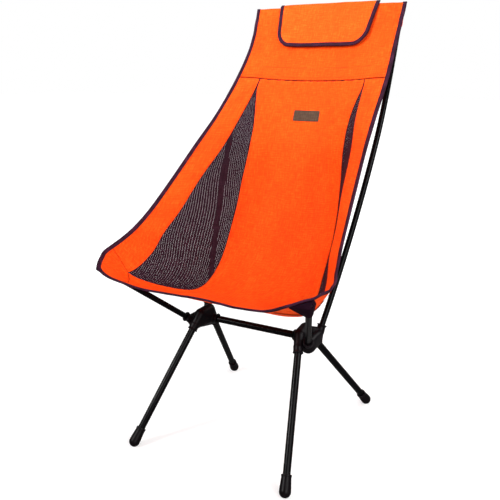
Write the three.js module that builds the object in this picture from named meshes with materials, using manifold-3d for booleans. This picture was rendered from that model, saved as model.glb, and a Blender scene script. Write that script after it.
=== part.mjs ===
// An ultralight backpacking chair. Two moulded hubs on a crossbar hold four legs, two seat arms
// and two bowed back poles, and a sewn fabric seat hangs between the arm tips and the pole tips.
// Units are millimetres. +Z is up, +Y is behind the sitter and X runs across the chair.
// Left and right are as seen from the front. The right side is modelled, and the left mirrors it.

import * as THREE from "three";
import { ConvexGeometry } from "three/addons/geometries/ConvexGeometry.js";
import { mergeVertices } from "three/addons/utils/BufferGeometryUtils.js";
import Module from "manifold-3d";

const wasm = await Module();
wasm.setup();

// Clearances
const fitGap = 0.3; // between a piece and what it sits in or lies on
const seamGap = 0.4; // between two panels along their seam
const cutOverrun = 6; // how far a cutter reaches past what it cuts
const weldTolerance = 0.001;

// Tubes
const legDiameter = 16;
const legWall = 1.2;
const poleDiameter = 13;
const poleWall = 1;
const ferruleWall = 1;
const ferruleLength = 56;

// Frame: the crossbar's axis is the line y = 0 at this height
const crossbarHeight = 250;
const hubHalfSpacing = 143; // from the chair's middle to the plane between the hub's two layers

// Hub sockets. Each tube passes a place on its axis, given from the point where the crossbar's axis
// meets the hub's middle plane: out from the chair's middle, back and up. It leaves with a sideways
// splay and a backward lean, both measured from the vertical, and reaches in past the place by its
// insert. The socket's boss stands out past the place by its collar and ends in a lip.
const frontLegSocket = {
  out: -6.4, back: -56, up: -16, splay: 13.4, lean: -35.8, rise: -1, insert: 36, collar: 0, lipWidth: 1,
};
const rearLegSocket = {
  out: -2.8, back: 50, up: -34, splay: 15, lean: 41.5, rise: -1, insert: 25, collar: -7, lipWidth: 1,
};
const armSocket = {
  out: 14.5, back: -50, up: 12, splay: 28.34, lean: -50.46, rise: 1, insert: 34, collar: 0, lipWidth: 2.6,
};
const poleSocket = {
  out: 7.7, back: 34.4, up: 17, splay: 9.3, lean: 24.84, rise: 1, insert: 30, collar: 5.5, lipWidth: 2.2,
};
const crossbarSocket = { insert: 28, length: 43, lipWidth: 2.1 }; // length is from its mouth to the middle plane

// Hub moulding
const socketWall = 2.9;
const lipLength = 3.5;
const bossFlare = 1; // how much wider a boss is at its foot
const domeRadius = 13.2;
const frontDomeReach = 42; // from the front leg's place to the centre of the rounded end of its boss
const rearDomeReach = 73;
const hubCoreInset = 18; // from the crossbar collar's mouth to the core
const armBodyRadius = 16.5; // of the rounded body at the bottom of the arm's socket
const poleBodyRadius = 12.5;
const webRadius = 7; // of the rounded web between the pole's socket and the rear leg's boss
const webInset = 8; // from the pole's place to the end of the web

// Feet
const footBallRadius = 12.2;
const footBallHeight = 11;
const footLength = 33; // from the ball's centre to the mouth of the foot
const footMouthRadius = 10.4;
const footLipRadius = 10.9;
const footLipLength = 2.5;
const footSocketFloor = 4; // from the ball's centre to the bottom of the foot's socket

// Seat arms and back poles, measured from their places in the hub
const armReach = 263.2;
const lowerPoleSplay = 6.21;
const lowerPoleReach = 444;
const lowerPoleBow = 5.3;
const upperPoleLean = 29.8;
const upperPoleSplay = -2.4;
const upperPoleReach = 346;
const upperPoleBendShare = 0.3; // share of the upper pole after the joint that still runs as the lower one

// End plugs
const plugHead = 6;
const plugSpigot = 14;
const plugRounding = 2;

// Fabric
const fabricThickness = 1.5;
const bindingWidth = 8;
const bindingThickness = 1;
const flapLength = 120;
const flapHem = 7; // how far the flap's fold stands above the top edge
const flapLift = 7; // how far the flap's lower edge stands off the panel
const labelWidth = 68;
const labelHeight = 27;
const labelThickness = 0.8;
const pocketWall = 1.6;
const frontPocketLength = 54;
const backPocketLength = 55;
const pocketInset = 11; // from the fabric's edge to the pocket's seam

// Counts
const tubeSides = 16;
const boreSides = 16;
const bossSides = 16;
const footSides = 20;
const poleSteps = 8;
const domeDetail = 2;
const cornerSteps = 4;
const footSteps = 6;

// Vectors, solids and small geometry helpers

const vec = (x, y, z) => new THREE.Vector3(x, y, z);
const radians = THREE.MathUtils.degToRad;

// Unit vector of a tube that rises (1) or falls (-1), from its splay and lean.
function heading({ splay, lean, rise }) {
  return vec(Math.tan(radians(splay)), Math.tan(radians(lean)), rise).normalize();
}

function pointAlong(start, direction, distance) {
  return start.clone().addScaledVector(direction, distance);
}

// Evenly spaced values, both ends included.
function spread(from, to, steps) {
  return Array.from({ length: steps + 1 }, (_, i) => THREE.MathUtils.lerp(from, to, i / steps));
}

// A closed geometry as a manifold solid.
function solidOf(geometry) {
  const bare = new THREE.BufferGeometry().setAttribute("position", geometry.getAttribute("position"));
  if (geometry.index) bare.setIndex(geometry.index);
  const merged = mergeVertices(bare, weldTolerance);
  return new wasm.Manifold(
    new wasm.Mesh({
      numProp: 3,
      vertProperties: merged.getAttribute("position").array,
      triVerts: new Uint32Array(merged.index.array),
    }),
  );
}

function geometryOf(solid) {
  const mesh = solid.getMesh();
  const geometry = new THREE.BufferGeometry();
  geometry.setAttribute("position", new THREE.BufferAttribute(mesh.vertProperties, mesh.numProp));
  geometry.setIndex(new THREE.BufferAttribute(mesh.triVerts, 1));
  const flat = geometry.toNonIndexed();
  flat.computeVertexNormals();
  return flat;
}

// Stands a geometry made round the Y axis on a point, with its Y axis along a direction.
function standOn(geometry, origin, direction) {
  const turn = new THREE.Quaternion().setFromUnitVectors(vec(0, 1, 0), direction);
  return geometry.applyQuaternion(turn).translate(origin.x, origin.y, origin.z);
}

// A turned shape: points are [radius, height] pairs from the axis back to the axis.
function turned(points, sides) {
  return new THREE.LatheGeometry(
    points.map(([radius, height]) => new THREE.Vector2(radius, height)),
    sides,
  );
}

function cylinderBetween(start, end, radius, sides) {
  const length = start.distanceTo(end);
  const direction = end.clone().sub(start).normalize();
  const cylinder = new THREE.CylinderGeometry(radius, radius, length, sides);
  return standOn(cylinder, start.clone().lerp(end, 0.5), direction);
}

// A hollow tube along a curve.
function tubeAlong(curve, radius, wall, steps) {
  const ring = new THREE.Shape().absarc(0, 0, radius, 0, 2 * Math.PI);
  ring.holes.push(new THREE.Path().absarc(0, 0, radius - wall, 0, 2 * Math.PI, true));
  return new THREE.ExtrudeGeometry(ring, { steps, curveSegments: tubeSides / 2, extrudePath: curve });
}

// Points on a sphere, for the hulls that the moulded shapes are made of.
function spherePoints(centre, radius) {
  const points = [];
  const place = new THREE.IcosahedronGeometry(radius, domeDetail).getAttribute("position");
  for (let i = 0; i < place.count; i++) {
    points.push(new THREE.Vector3().fromBufferAttribute(place, i).add(centre));
  }
  return points;
}

// Points on a circle round an axis.
function ringPoints(centre, direction, radius, sides) {
  const turn = new THREE.Quaternion().setFromUnitVectors(vec(0, 0, 1), direction);
  return Array.from({ length: sides }, (_, i) => {
    const angle = (i / sides) * 2 * Math.PI;
    return vec(Math.cos(angle), Math.sin(angle), 0).applyQuaternion(turn).multiplyScalar(radius).add(centre);
  });
}

// Frame lines

const hubCentre = vec(hubHalfSpacing, 0, crossbarHeight);

function socketLine(socket) {
  const place = hubCentre.clone().add(vec(socket.out, socket.back, socket.up));
  return { ...socket, place, direction: heading(socket) };
}

const frontLegLine = socketLine(frontLegSocket);
const rearLegLine = socketLine(rearLegSocket);
const armLine = socketLine(armSocket);
const poleLine = socketLine(poleSocket);
const crossbarMouth = hubHalfSpacing - crossbarSocket.length;

// The foot's ball centre is where the leg's axis comes down to the ball's height.
function ballCentre(line) {
  const reach = (line.place.z - footBallHeight) / -line.direction.z;
  return pointAlong(line.place, line.direction, reach);
}

const armTip = pointAlong(armLine.place, armLine.direction, armReach);

// The lower pole leaves the socket on its axis and bows outward. The upper pole goes on in the
// same direction and bends back towards the chair's middle.
const lowerChord = heading({ splay: lowerPoleSplay, lean: poleSocket.lean, rise: 1 });
const poleJoint = pointAlong(poleLine.place, lowerChord, lowerPoleReach);
const lowerMiddle = poleLine.place.clone().lerp(poleJoint, 0.5).add(vec(2 * lowerPoleBow, 0, 0));
const lowerBow = new THREE.QuadraticBezierCurve3(poleLine.place, lowerMiddle, poleJoint);
const socketEntry = lowerBow.getTangent(0);
const poleFoot = pointAlong(poleLine.place, socketEntry, -poleSocket.insert);
const upperChord = heading({ splay: upperPoleSplay, lean: upperPoleLean, rise: 1 });
const poleTip = pointAlong(poleJoint, upperChord, upperPoleReach);
const upperMiddle = pointAlong(poleJoint, lowerBow.getTangent(1), upperPoleBendShare * upperPoleReach);
const upperBow = new THREE.QuadraticBezierCurve3(poleJoint, upperMiddle, poleTip);

// The hub: one moulding in two layers, with a socket for each of its five tubes. The inner layer
// holds the two legs and the crossbar, the outer one the seat arm and the back pole.

function boss({ place, direction, collar, lipWidth }, radius, depth) {
  const outer = radius + socketWall;
  const lip = outer + lipWidth;
  const profile = [
    [0, -depth],
    [outer + bossFlare, -depth],
    [outer, collar - 2 * lipLength],
    [outer, collar - lipLength],
    [lip, collar - lipLength / 2],
    [lip, collar],
    [0, collar],
  ];
  return solidOf(standOn(turned(profile, bossSides), place, direction));
}

function bore({ place, direction, insert, collar }, radius) {
  const bottom = pointAlong(place, direction, -insert - fitGap);
  const top = pointAlong(place, direction, Math.max(0, collar) + cutOverrun);
  return solidOf(cylinderBetween(bottom, top, radius + fitGap, boreSides));
}

// The hull of balls given as [centre, radius] pairs.
function rounded(balls) {
  return solidOf(new ConvexGeometry(balls.flatMap(([centre, radius]) => spherePoints(centre, radius))));
}

function makeHub() {
  const legRadius = legDiameter / 2;
  const poleRadius = poleDiameter / 2;
  const legOuter = legRadius + socketWall;
  const poleOuter = poleRadius + socketWall;
  const poleEntry = { ...poleLine, direction: socketEntry };
  const crossbarLine = {
    ...crossbarSocket,
    place: vec(crossbarMouth, 0, crossbarHeight),
    direction: vec(-1, 0, 0),
    collar: 0,
  };
  const inside = (line, depth) => pointAlong(line.place, line.direction, -depth);
  const rearDome = inside(rearLegLine, rearDomeReach);
  const innerLayer = rounded([
    [inside(frontLegLine, frontDomeReach), domeRadius],
    [rearDome, domeRadius],
    [inside(frontLegLine, legDiameter), legOuter],
    [inside(rearLegLine, legDiameter), legOuter],
    [inside(crossbarLine, hubCoreInset), legOuter],
  ]);
  const outerLayer = rounded([
    [inside(armLine, poleDiameter), poleOuter],
    [inside(armLine, armLine.insert), armBodyRadius],
    [inside(poleEntry, poleDiameter), poleOuter],
    [inside(poleEntry, poleEntry.insert), poleBodyRadius],
  ]);
  const web = rounded([
    [rearDome, webRadius],
    [inside(poleEntry, webInset), webRadius],
    [inside(poleEntry, poleEntry.insert), webRadius],
  ]);
  const legTubes = [frontLegLine, rearLegLine, crossbarLine];
  const poleTubes = [armLine, poleEntry];
  let hub = innerLayer.add(outerLayer).add(web);
  for (const line of legTubes) hub = hub.add(boss(line, legRadius, legDiameter));
  for (const line of poleTubes) hub = hub.add(boss(line, poleRadius, poleDiameter));
  for (const line of legTubes) hub = hub.subtract(bore(line, legRadius));
  for (const line of poleTubes) hub = hub.subtract(bore(line, poleRadius));
  return geometryOf(hub);
}

function makeCrossbar() {
  const end = crossbarMouth + crossbarSocket.insert;
  const axis = new THREE.LineCurve3(vec(-end, 0, crossbarHeight), vec(end, 0, crossbarHeight));
  return tubeAlong(axis, legDiameter / 2, legWall, 1);
}

// Legs and feet

function makeLeg(line) {
  const top = pointAlong(line.place, line.direction, -line.insert);
  const bottom = pointAlong(ballCentre(line), line.direction, -footSocketFloor - fitGap);
  return tubeAlong(new THREE.LineCurve3(top, bottom), legDiameter / 2, legWall, 1);
}

function makeFoot(line) {
  const up = line.direction.clone().negate();
  const ball = ballCentre(line);
  const ballAngles = spread(0, Math.PI / 2, footSteps);
  const profile = [
    ...ballAngles.map((angle) => [footBallRadius * Math.sin(angle), -footBallRadius * Math.cos(angle)]),
    [footMouthRadius, footLength - 2 * footLipLength],
    [footLipRadius, footLength - footLipLength],
    [footLipRadius, footLength],
    [0, footLength],
  ];
  const mouth = pointAlong(ball, up, footLength + cutOverrun);
  const floor = pointAlong(ball, up, footSocketFloor);
  const socket = cylinderBetween(floor, mouth, legDiameter / 2 + fitGap, boreSides);
  const size = 4 * footBallRadius;
  const ground = new THREE.BoxGeometry(size, size, size).translate(ball.x, ball.y, -size / 2);
  const foot = solidOf(standOn(turned(profile, footSides), ball, up))
    .subtract(solidOf(socket))
    .subtract(solidOf(ground));
  return geometryOf(foot);
}

// Seat arms, back poles, their ferrules and end plugs

function makeArm() {
  const start = pointAlong(armLine.place, armLine.direction, -armLine.insert);
  const end = pointAlong(armTip, armLine.direction, -plugHead - fitGap);
  return tubeAlong(new THREE.LineCurve3(start, end), poleDiameter / 2, poleWall, 1);
}

// The part of a curve between two distances along it, as a smooth curve of its own.
function stretchOf(curve, from, to, steps) {
  const length = curve.getLength();
  return spread(from, to, steps).map((distance) => curve.getPointAt(distance / length));
}

function makeLowerPole() {
  const length = lowerBow.getLength();
  const points = [poleFoot, ...stretchOf(lowerBow, 0, length - fitGap / 2, poleSteps)];
  return tubeAlong(new THREE.CatmullRomCurve3(points), poleDiameter / 2, poleWall, poleSteps + 1);
}

function makeUpperPole() {
  const length = upperBow.getLength();
  const points = stretchOf(upperBow, fitGap / 2, length - plugHead - fitGap, poleSteps);
  return tubeAlong(new THREE.CatmullRomCurve3(points), poleDiameter / 2, poleWall, poleSteps);
}

function makeFerrule() {
  const half = ferruleLength / 2;
  const length = lowerBow.getLength();
  const steps = 1;
  const below = stretchOf(lowerBow, length - half, length, steps);
  const above = stretchOf(upperBow, 0, half, steps).slice(1);
  const radius = poleDiameter / 2 - poleWall - fitGap;
  const axis = new THREE.CatmullRomCurve3([...below, ...above]);
  return tubeAlong(axis, radius, ferruleWall, 2 * steps);
}

function makePlug(tip, direction) {
  const head = poleDiameter / 2;
  const spigot = head - poleWall - fitGap;
  const profile = [
    [0, -plugHead - plugSpigot],
    [spigot, -plugHead - plugSpigot],
    [spigot, -plugHead],
    [head, -plugHead],
    [head, -plugRounding],
    [head - plugRounding, 0],
    [0, 0],
  ];
  return standOn(turned(profile, tubeSides), tip, direction);
}

// The fabric surface. u runs across from -1 at the left edge to 1 at the right, and v from 0 at
// the top edge to 1 at the front edge. Each row of the table is one rib across the fabric: v, then
// the places at the middle and at u = 0.4, 0.6 and 0.8, then the edge, which also has a half
// width. Places are shares of the way from the arm tip to the pole tip, back and up. The half
// width is a share of the tips' own half width there.

const ribColumnShares = [-1, -0.8, -0.6, -0.4, 0, 0.4, 0.6, 0.8, 1];
const ribShares = [
  {
    v: 0, half: 1.097,
    middle: [0.981, 1.016], near: [0.978, 1.016], inner: [0.976, 1.015], outer: [0.973, 1.014], edge: [0.969, 1.013],
  },
  {
    v: 0.1, half: 1.043,
    middle: [0.915, 0.85], near: [0.912, 0.851], inner: [0.909, 0.852], outer: [0.905, 0.854], edge: [0.902, 0.854],
  },
  {
    v: 0.2, half: 1.031,
    middle: [0.838, 0.684], near: [0.83, 0.687], inner: [0.822, 0.691], outer: [0.811, 0.697], edge: [0.797, 0.7],
  },
  {
    v: 0.3, half: 1.029,
    middle: [0.789, 0.532], near: [0.772, 0.532], inner: [0.734, 0.532], outer: [0.67, 0.532], edge: [0.642, 0.532],
  },
  {
    v: 0.38, half: 1.048,
    middle: [0.749, 0.417], near: [0.734, 0.417], inner: [0.683, 0.417], outer: [0.588, 0.417], edge: [0.521, 0.417],
  },
  {
    v: 0.48, half: 1.075,
    middle: [0.704, 0.264], near: [0.71, 0.266], inner: [0.634, 0.271], outer: [0.467, 0.28], edge: [0.391, 0.284],
  },
  {
    v: 0.58, half: 1.095,
    middle: [0.645, 0.082], near: [0.64, 0.086], inner: [0.58, 0.112], outer: [0.385, 0.16], edge: [0.279, 0.174],
  },
  {
    v: 0.68, half: 1.106,
    middle: [0.545, -0.09], near: [0.54, -0.078], inner: [0.482, -0.048], outer: [0.302, 0.062], edge: [0.205, 0.112],
  },
  {
    v: 0.78, half: 1.115,
    middle: [0.385, -0.172], near: [0.385, -0.168], inner: [0.358, -0.146], outer: [0.245, -0.035],
    edge: [0.151, 0.076],
  },
  {
    v: 0.9, half: 1.123,
    middle: [0.172, -0.158], near: [0.175, -0.154], inner: [0.172, -0.142], outer: [0.12, -0.078],
    edge: [0.079, 0.041],
  },
  {
    v: 1, half: 1.037,
    middle: [0.006, -0.054], near: [0.001, -0.058], inner: [-0.016, -0.045], outer: [-0.047, -0.006],
    edge: [-0.006, 0.028],
  },
];
const ribPlaceShares = ribShares.map((rib) => rib.v);
const ribColumnNames = ["edge", "outer", "inner", "near", "middle"];

// A smooth curve through values at unevenly spaced knots.
function smooth(knots, values, t) {
  const last = knots.length - 1;
  let i = 0;
  while (i < last - 1 && t > knots[i + 1]) i++;
  const rate = (k) => (values[k + 1] - values[k]) / (knots[k + 1] - knots[k]);
  const slope = (k) => {
    if (k === 0) return rate(0);
    if (k === last) return rate(last - 1);
    const before = knots[k] - knots[k - 1];
    const after = knots[k + 1] - knots[k];
    return (rate(k - 1) * after + rate(k) * before) / (before + after);
  };
  const span = knots[i + 1] - knots[i];
  const s = (t - knots[i]) / span;
  const rest = 1 - s;
  return (
    (1 + 2 * s) * rest * rest * values[i] +
    s * rest * rest * slope(i) * span +
    s * s * (3 - 2 * s) * values[i + 1] -
    s * s * rest * slope(i + 1) * span
  );
}

function halfWidth(v) {
  const share = smooth(ribPlaceShares, ribShares.map((rib) => rib.half), v);
  return share * THREE.MathUtils.lerp(poleTip.x, armTip.x, v);
}

// The fabric's edge keeps in front of the back pole's axis by a level distance.
const edgeClearance = poleDiameter / 2 + fabricThickness + 2 * bindingThickness + 3 * fitGap;
const poleAxis = [...lowerBow.getPoints(poleSteps), ...upperBow.getPoints(poleSteps).slice(1)];

function poleBackAt(height) {
  let i = 0;
  while (i < poleAxis.length - 2 && height > poleAxis[i + 1].z) i++;
  const below = poleAxis[i];
  const above = poleAxis[i + 1];
  return THREE.MathUtils.mapLinear(height, below.z, above.z, below.y, above.y);
}

function fabricPoint(u, v) {
  const column = (name, axis) => smooth(ribPlaceShares, ribShares.map((rib) => rib[name][axis]), v);
  const backs = ribColumnNames.map((name) => THREE.MathUtils.lerp(armTip.y, poleTip.y, column(name, 0)));
  const ups = ribColumnNames.map((name) => THREE.MathUtils.lerp(armTip.z, poleTip.z, column(name, 1)));
  backs[0] = Math.min(backs[0], poleBackAt(ups[0]) - edgeClearance);
  const across = (values) => smooth(ribColumnShares, [...values, ...values.slice(0, -1).reverse()], u);
  return vec(u * halfWidth(v), across(backs), across(ups));
}

const slopeStepShare = 0.001; // of the fabric's own coordinates, for its slopes

// The point, its slopes across and down, and the normal on the sitter's side.
function fabricFrame(u, v) {
  const point = fabricPoint(u, v);
  const across = fabricPoint(u + slopeStepShare, v).sub(fabricPoint(u - slopeStepShare, v)).divideScalar(2 * slopeStepShare);
  const down = fabricPoint(u, v + slopeStepShare).sub(fabricPoint(u, v - slopeStepShare)).divideScalar(2 * slopeStepShare);
  const normal = down.clone().cross(across).normalize();
  return { point, across, down, normal };
}

// A sheet over a grid of {u, v, lift} places: its underside and upper side lie at the two given
// distances from the fabric surface, raised by each place's own lift.
function sheetOver(grid, under, over) {
  const rows = grid.length;
  const columns = grid[0].length;
  const positions = [];
  for (const level of [over, under]) {
    for (const row of grid) {
      for (const { u, v, lift = 0 } of row) {
        const { point, normal } = fabricFrame(u, v);
        positions.push(...pointAlong(point, normal, level + lift).toArray());
      }
    }
  }
  const at = (side, i, j) => (side * rows + i) * columns + j;
  const faces = [];
  const quad = (a, b, c, d) => faces.push(a, b, c, a, c, d);
  for (let i = 0; i + 1 < rows; i++) {
    for (let j = 0; j + 1 < columns; j++) {
      quad(at(0, i, j), at(0, i + 1, j), at(0, i + 1, j + 1), at(0, i, j + 1));
      quad(at(1, i, j), at(1, i, j + 1), at(1, i + 1, j + 1), at(1, i + 1, j));
    }
  }
  const wall = (p, q) => quad(at(0, ...p), at(1, ...p), at(1, ...q), at(0, ...q));
  for (let i = 0; i + 1 < rows; i++) {
    wall([i, 0], [i + 1, 0]);
    wall([i + 1, columns - 1], [i, columns - 1]);
  }
  for (let j = 0; j + 1 < columns; j++) {
    wall([rows - 1, j], [rows - 1, j + 1]);
    wall([0, j + 1], [0, j]);
  }
  const geometry = new THREE.BufferGeometry();
  geometry.setAttribute("position", new THREE.Float32BufferAttribute(positions, 3));
  geometry.setIndex(faces);
  return geometry;
}

// Seams and outlines of the panels, as u for a given v, by their [v, u] shares.

const crossSeamShare = 0.2;
const meshTopShare = 0.225;
const meshFootShare = 0.858;
const meshTipShare = 0.8925;
const patchSideShare = 0.862; // where the corner patch's diagonal seam meets the side edge
const innerSeamShares = [
  [0.2, 0.7], [0.225, 0.692], [0.25, 0.65], [0.287, 0.62], [0.335, 0.58], [0.4, 0.57], [0.5, 0.575],
  [0.605, 0.585], [0.7, 0.575], [0.765, 0.575], [0.82, 0.59], [0.85, 0.63], [0.872, 0.705], [0.8925, 0.83],
];
const outerSeamShares = [
  [0.2, 0.7], [0.24, 0.702], [0.28, 0.72], [0.333, 0.74], [0.45, 0.78], [0.52, 0.81], [0.63, 0.81],
  [0.79, 0.82], [0.8925, 0.84],
];
const patchSeamShares = [[0.8925, 0.84], [0.9425, 0.75], [1, 0.67]];

// Straight between its points.
function along(shares, v) {
  let i = 0;
  while (i < shares.length - 2 && v > shares[i + 1][0]) i++;
  const [v0, u0] = shares[i];
  const [v1, u1] = shares[i + 1];
  return THREE.MathUtils.lerp(u0, u1, (v - v0) / (v1 - v0));
}

// The shift in u that moves a seam sideways by a distance, whatever the seam's slant there.
function seamShift(shares, v, distance) {
  const u = along(shares, v);
  const { across, down } = fabricFrame(u, v);
  const slant = (along(shares, v + slopeStepShare) - along(shares, v - slopeStepShare)) / (2 * slopeStepShare);
  return (distance / across.length()) * Math.hypot(1, (slant * across.length()) / down.length());
}

// Rows of the panels from the cross seam to the front edge.
const seamRowShare = 0.2125; // of the row between the cross seam and the top of the mesh
const backRowShares = [crossSeamShare, seamRowShare, ...spread(meshTopShare, meshFootShare, 21)];
const footRowShares = spread(meshFootShare, meshTipShare, 4);
const frontRowShares = [meshTipShare, 0.92, 0.95, 0.975, 0.991, 1];

// The edge of the fabric: a quarter ellipse rounds the front corner. It takes the same share of
// the half width and of the length from top to front.
const cornerRoundingShare = 0.1;
const roundingStartShare = 1 - cornerRoundingShare;

function frontEdge(u) {
  const beyond = Math.max(0, Math.abs(u) - roundingStartShare) / cornerRoundingShare;
  return 1 - cornerRoundingShare * (1 - Math.sqrt(Math.max(0, 1 - beyond * beyond)));
}

// Grids of the panels. seam is the distance kept from each seam line, and reach how far the grid
// passes the fabric's outer edge: cutters for what lies over an edge use a small overlap and reach.

function reachAcross(v, distance) {
  return distance / halfWidth(v);
}

function reachDown(u, v, distance) {
  return distance / fabricFrame(u, v).down.length();
}

function topPanelGrid(seam, reach) {
  const last = crossSeamShare - reachDown(0, crossSeamShare, seam);
  const first = -reachDown(0, 0, reach);
  const columnShares = [-1, -0.95, ...spread(-0.8, 0.8, 8), 0.95, 1];
  return spread(first, last, 5).map((v) => {
    return columnShares.map((share) => ({ u: share * (1 + reachAcross(v, reach)), v }));
  });
}

function centrePanelGrid(seam, reach) {
  const first = crossSeamShare + reachDown(0, crossSeamShare, seam);
  const last = 1 + reachDown(0, 1, reach);
  const rows = [first, ...backRowShares.slice(1), ...footRowShares.slice(1), ...frontRowShares.slice(1, -1), last];
  return rows.map((v) => {
    const shares = v <= meshTipShare ? innerSeamShares : patchSeamShares;
    const half = along(shares, v) - seamShift(shares, v, seam);
    return spread(-half, half, 10).map((u) => ({ u, v }));
  });
}

const bandColumnShares = [0, 0.4, 0.8, 1];

function bandGrid(seam, reach) {
  const first = crossSeamShare + reachDown(0, crossSeamShare, seam);
  const rows = [first, ...backRowShares.slice(1), ...footRowShares.slice(1)];
  return rows.map((row) => {
    return bandColumnShares.map((share) => {
      const past = Math.max(0, row - meshFootShare) / (meshTipShare - meshFootShare);
      const diagonal = THREE.MathUtils.lerp(meshTipShare, patchSideShare, share) - reachDown(1, patchSideShare, seam);
      const v = THREE.MathUtils.lerp(Math.min(row, meshFootShare), diagonal, past * past);
      const inner = along(outerSeamShares, v) + seamShift(outerSeamShares, v, seam);
      const outer = 1 + reachAcross(v, reach);
      return { u: THREE.MathUtils.lerp(inner, outer, share), v };
    });
  });
}

function meshGrid(seam) {
  const rows = [...backRowShares.slice(2), ...footRowShares.slice(1, -1)];
  return rows.map((v) => {
    const inner = along(innerSeamShares, v) + seamShift(innerSeamShares, v, seam);
    const outer = along(outerSeamShares, v) - seamShift(outerSeamShares, v, seam);
    return spread(inner, outer, 3).map((u) => ({ u, v }));
  });
}

const patchRoundingShare = 0.6; // of the way across the patch, where its rounded corner begins

function patchGrid(seam, reach) {
  const arcShares = spread(0, Math.PI / 2, cornerSteps).map(Math.sin);
  const roundShares = arcShares.map((share) => THREE.MathUtils.lerp(patchRoundingShare, 1, share));
  const columnShares = [0, patchRoundingShare / 2, ...roundShares];
  const spanShare = 1 - meshTipShare;
  return frontRowShares.map((row) => {
    return columnShares.map((share) => {
      const top = THREE.MathUtils.lerp(meshTipShare, patchSideShare, share) + reachDown(1, patchSideShare, seam);
      const seamLine = along(patchSeamShares, row) + seamShift(patchSeamShares, row, seam);
      const outer = 1 + reachAcross(row, reach);
      const u = THREE.MathUtils.lerp(seamLine, outer, share);
      const low = frontEdge(Math.min(1, u / outer)) + reachDown(u, 1, reach);
      return { u, v: THREE.MathUtils.lerp(top, low, (row - meshTipShare) / spanShare) };
    });
  });
}

const underside = -fabricThickness / 2;
const overside = fabricThickness / 2;
const halfSeam = seamGap / 2;

function makePanel(grid) {
  return sheetOver(grid, underside, overside);
}

// The mirror image of an indexed geometry on the chair's other side.
function mirrored(geometry) {
  const image = geometry.clone().scale(-1, 1, 1);
  const { array } = image.index;
  for (let i = 0; i < array.length; i += 3) [array[i], array[i + 1]] = [array[i + 1], array[i]];
  return image;
}

// Every panel that reaches the fabric's edge, grown by a gap on its faces and edges, and thickened
// on the sitter's side if asked, so that what is cut by it clears the fabric.
function edgeCutter(thickening) {
  const under = underside - fitGap;
  const over = overside + fitGap + thickening;
  const overlap = -fitGap;
  const grown = (grid) => sheetOver(grid, under, over);
  const sides = [grown(bandGrid(overlap, fitGap)), grown(patchGrid(overlap, fitGap))];
  const middles = [grown(topPanelGrid(overlap, fitGap)), grown(centrePanelGrid(overlap, fitGap))];
  return [...middles, ...sides, ...sides.map(mirrored)].map(solidOf);
}

// A bar of tape round a line of {u, v, lift} places on the fabric's edge, with its outer side
// square to the line and along the fabric.
function tapeBar(places, grow) {
  const thick = fabricThickness / 2 + fitGap + bindingThickness + grow;
  const reach = fitGap + bindingThickness + grow;
  const section = [
    [-bindingWidth - grow, thick], [0, thick], [reach, thick / 2],
    [reach, -thick / 2], [0, -thick], [-bindingWidth - grow, -thick],
  ];
  const frames = places.map(({ u, v, lift = 0 }) => {
    const { point, normal } = fabricFrame(u, v);
    return { point: pointAlong(point, normal, lift), normal };
  });
  const positions = [];
  frames.forEach(({ point, normal }, i) => {
    const before = frames[Math.max(0, i - 1)].point;
    const after = frames[Math.min(frames.length - 1, i + 1)].point;
    const run = after.clone().sub(before).normalize();
    const outward = run.clone().cross(normal).normalize();
    for (const [out, up] of section) {
      positions.push(...pointAlong(pointAlong(point, outward, out), normal, up).toArray());
    }
  });
  const sides = section.length;
  const faces = [];
  for (let i = 0; i + 1 < frames.length; i++) {
    for (let k = 0; k < sides; k++) {
      const a = i * sides + k;
      const b = i * sides + ((k + 1) % sides);
      faces.push(a, b, b + sides, a, b + sides, a + sides);
    }
  }
  const end = (frames.length - 1) * sides;
  for (let k = 1; k + 1 < sides; k++) {
    faces.push(0, k + 1, k);
    faces.push(end, end + k, end + k + 1);
  }
  const geometry = new THREE.BufferGeometry();
  geometry.setAttribute("position", new THREE.Float32BufferAttribute(positions, 3));
  geometry.setIndex(faces);
  return geometry;
}

// The fabric's edge from the left top corner round the front to the right top corner.
function edgePlaces() {
  const side = spread(0, roundingStartShare, 22).map((v) => ({ u: 1, v }));
  const arc = spread(0, Math.PI / 2, cornerSteps).slice(1).map((angle) => {
    return {
      u: roundingStartShare + cornerRoundingShare * Math.cos(angle),
      v: roundingStartShare + cornerRoundingShare * Math.sin(angle),
    };
  });
  const front = spread(roundingStartShare, 0, 6).slice(1).map((u) => ({ u, v: 1 }));
  const right = [...side, ...arc, ...front];
  const left = right.slice(0, -1).map(({ u, v }) => ({ u: -u, v }));
  return [...left, ...right.reverse()];
}

function makeEdgeBinding() {
  let tape = solidOf(tapeBar(edgePlaces(), 0));
  for (const cutter of edgeCutter(0)) tape = tape.subtract(cutter);
  return geometryOf(tape);
}

// The headrest flap hangs over the front of the top edge. Its half width narrows towards the
// bottom, where the corners are rounded.

const flapTopShare = 0.66; // half widths as shares of the fabric's
const flapBottomShare = 0.6;
const flapRoundingShare = 0.36; // share of the flap's length that the rounded corners take
const flapCornerShare = 0.17; // of the fabric's half width, at each rounded corner
const flapSpanShare = reachDown(0, 0, flapLength - flapHem);

function flapHalf(t) {
  const past = Math.max(0, t - (1 - flapRoundingShare)) / flapRoundingShare;
  const drop = flapCornerShare * (1 - Math.sqrt(Math.max(0, 1 - past * past)));
  return THREE.MathUtils.lerp(flapTopShare, flapBottomShare, t) - drop;
}

function flapLiftAt(t) {
  const start = fabricThickness + bindingThickness + 3 * fitGap;
  return THREE.MathUtils.lerp(flapLift, start, (1 - t) * (1 - t));
}

function flapPlace(share, t) {
  const { v, lift } = flapLevel(t);
  return { u: share * flapHalf(Math.max(0, t)), v, lift };
}

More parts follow.
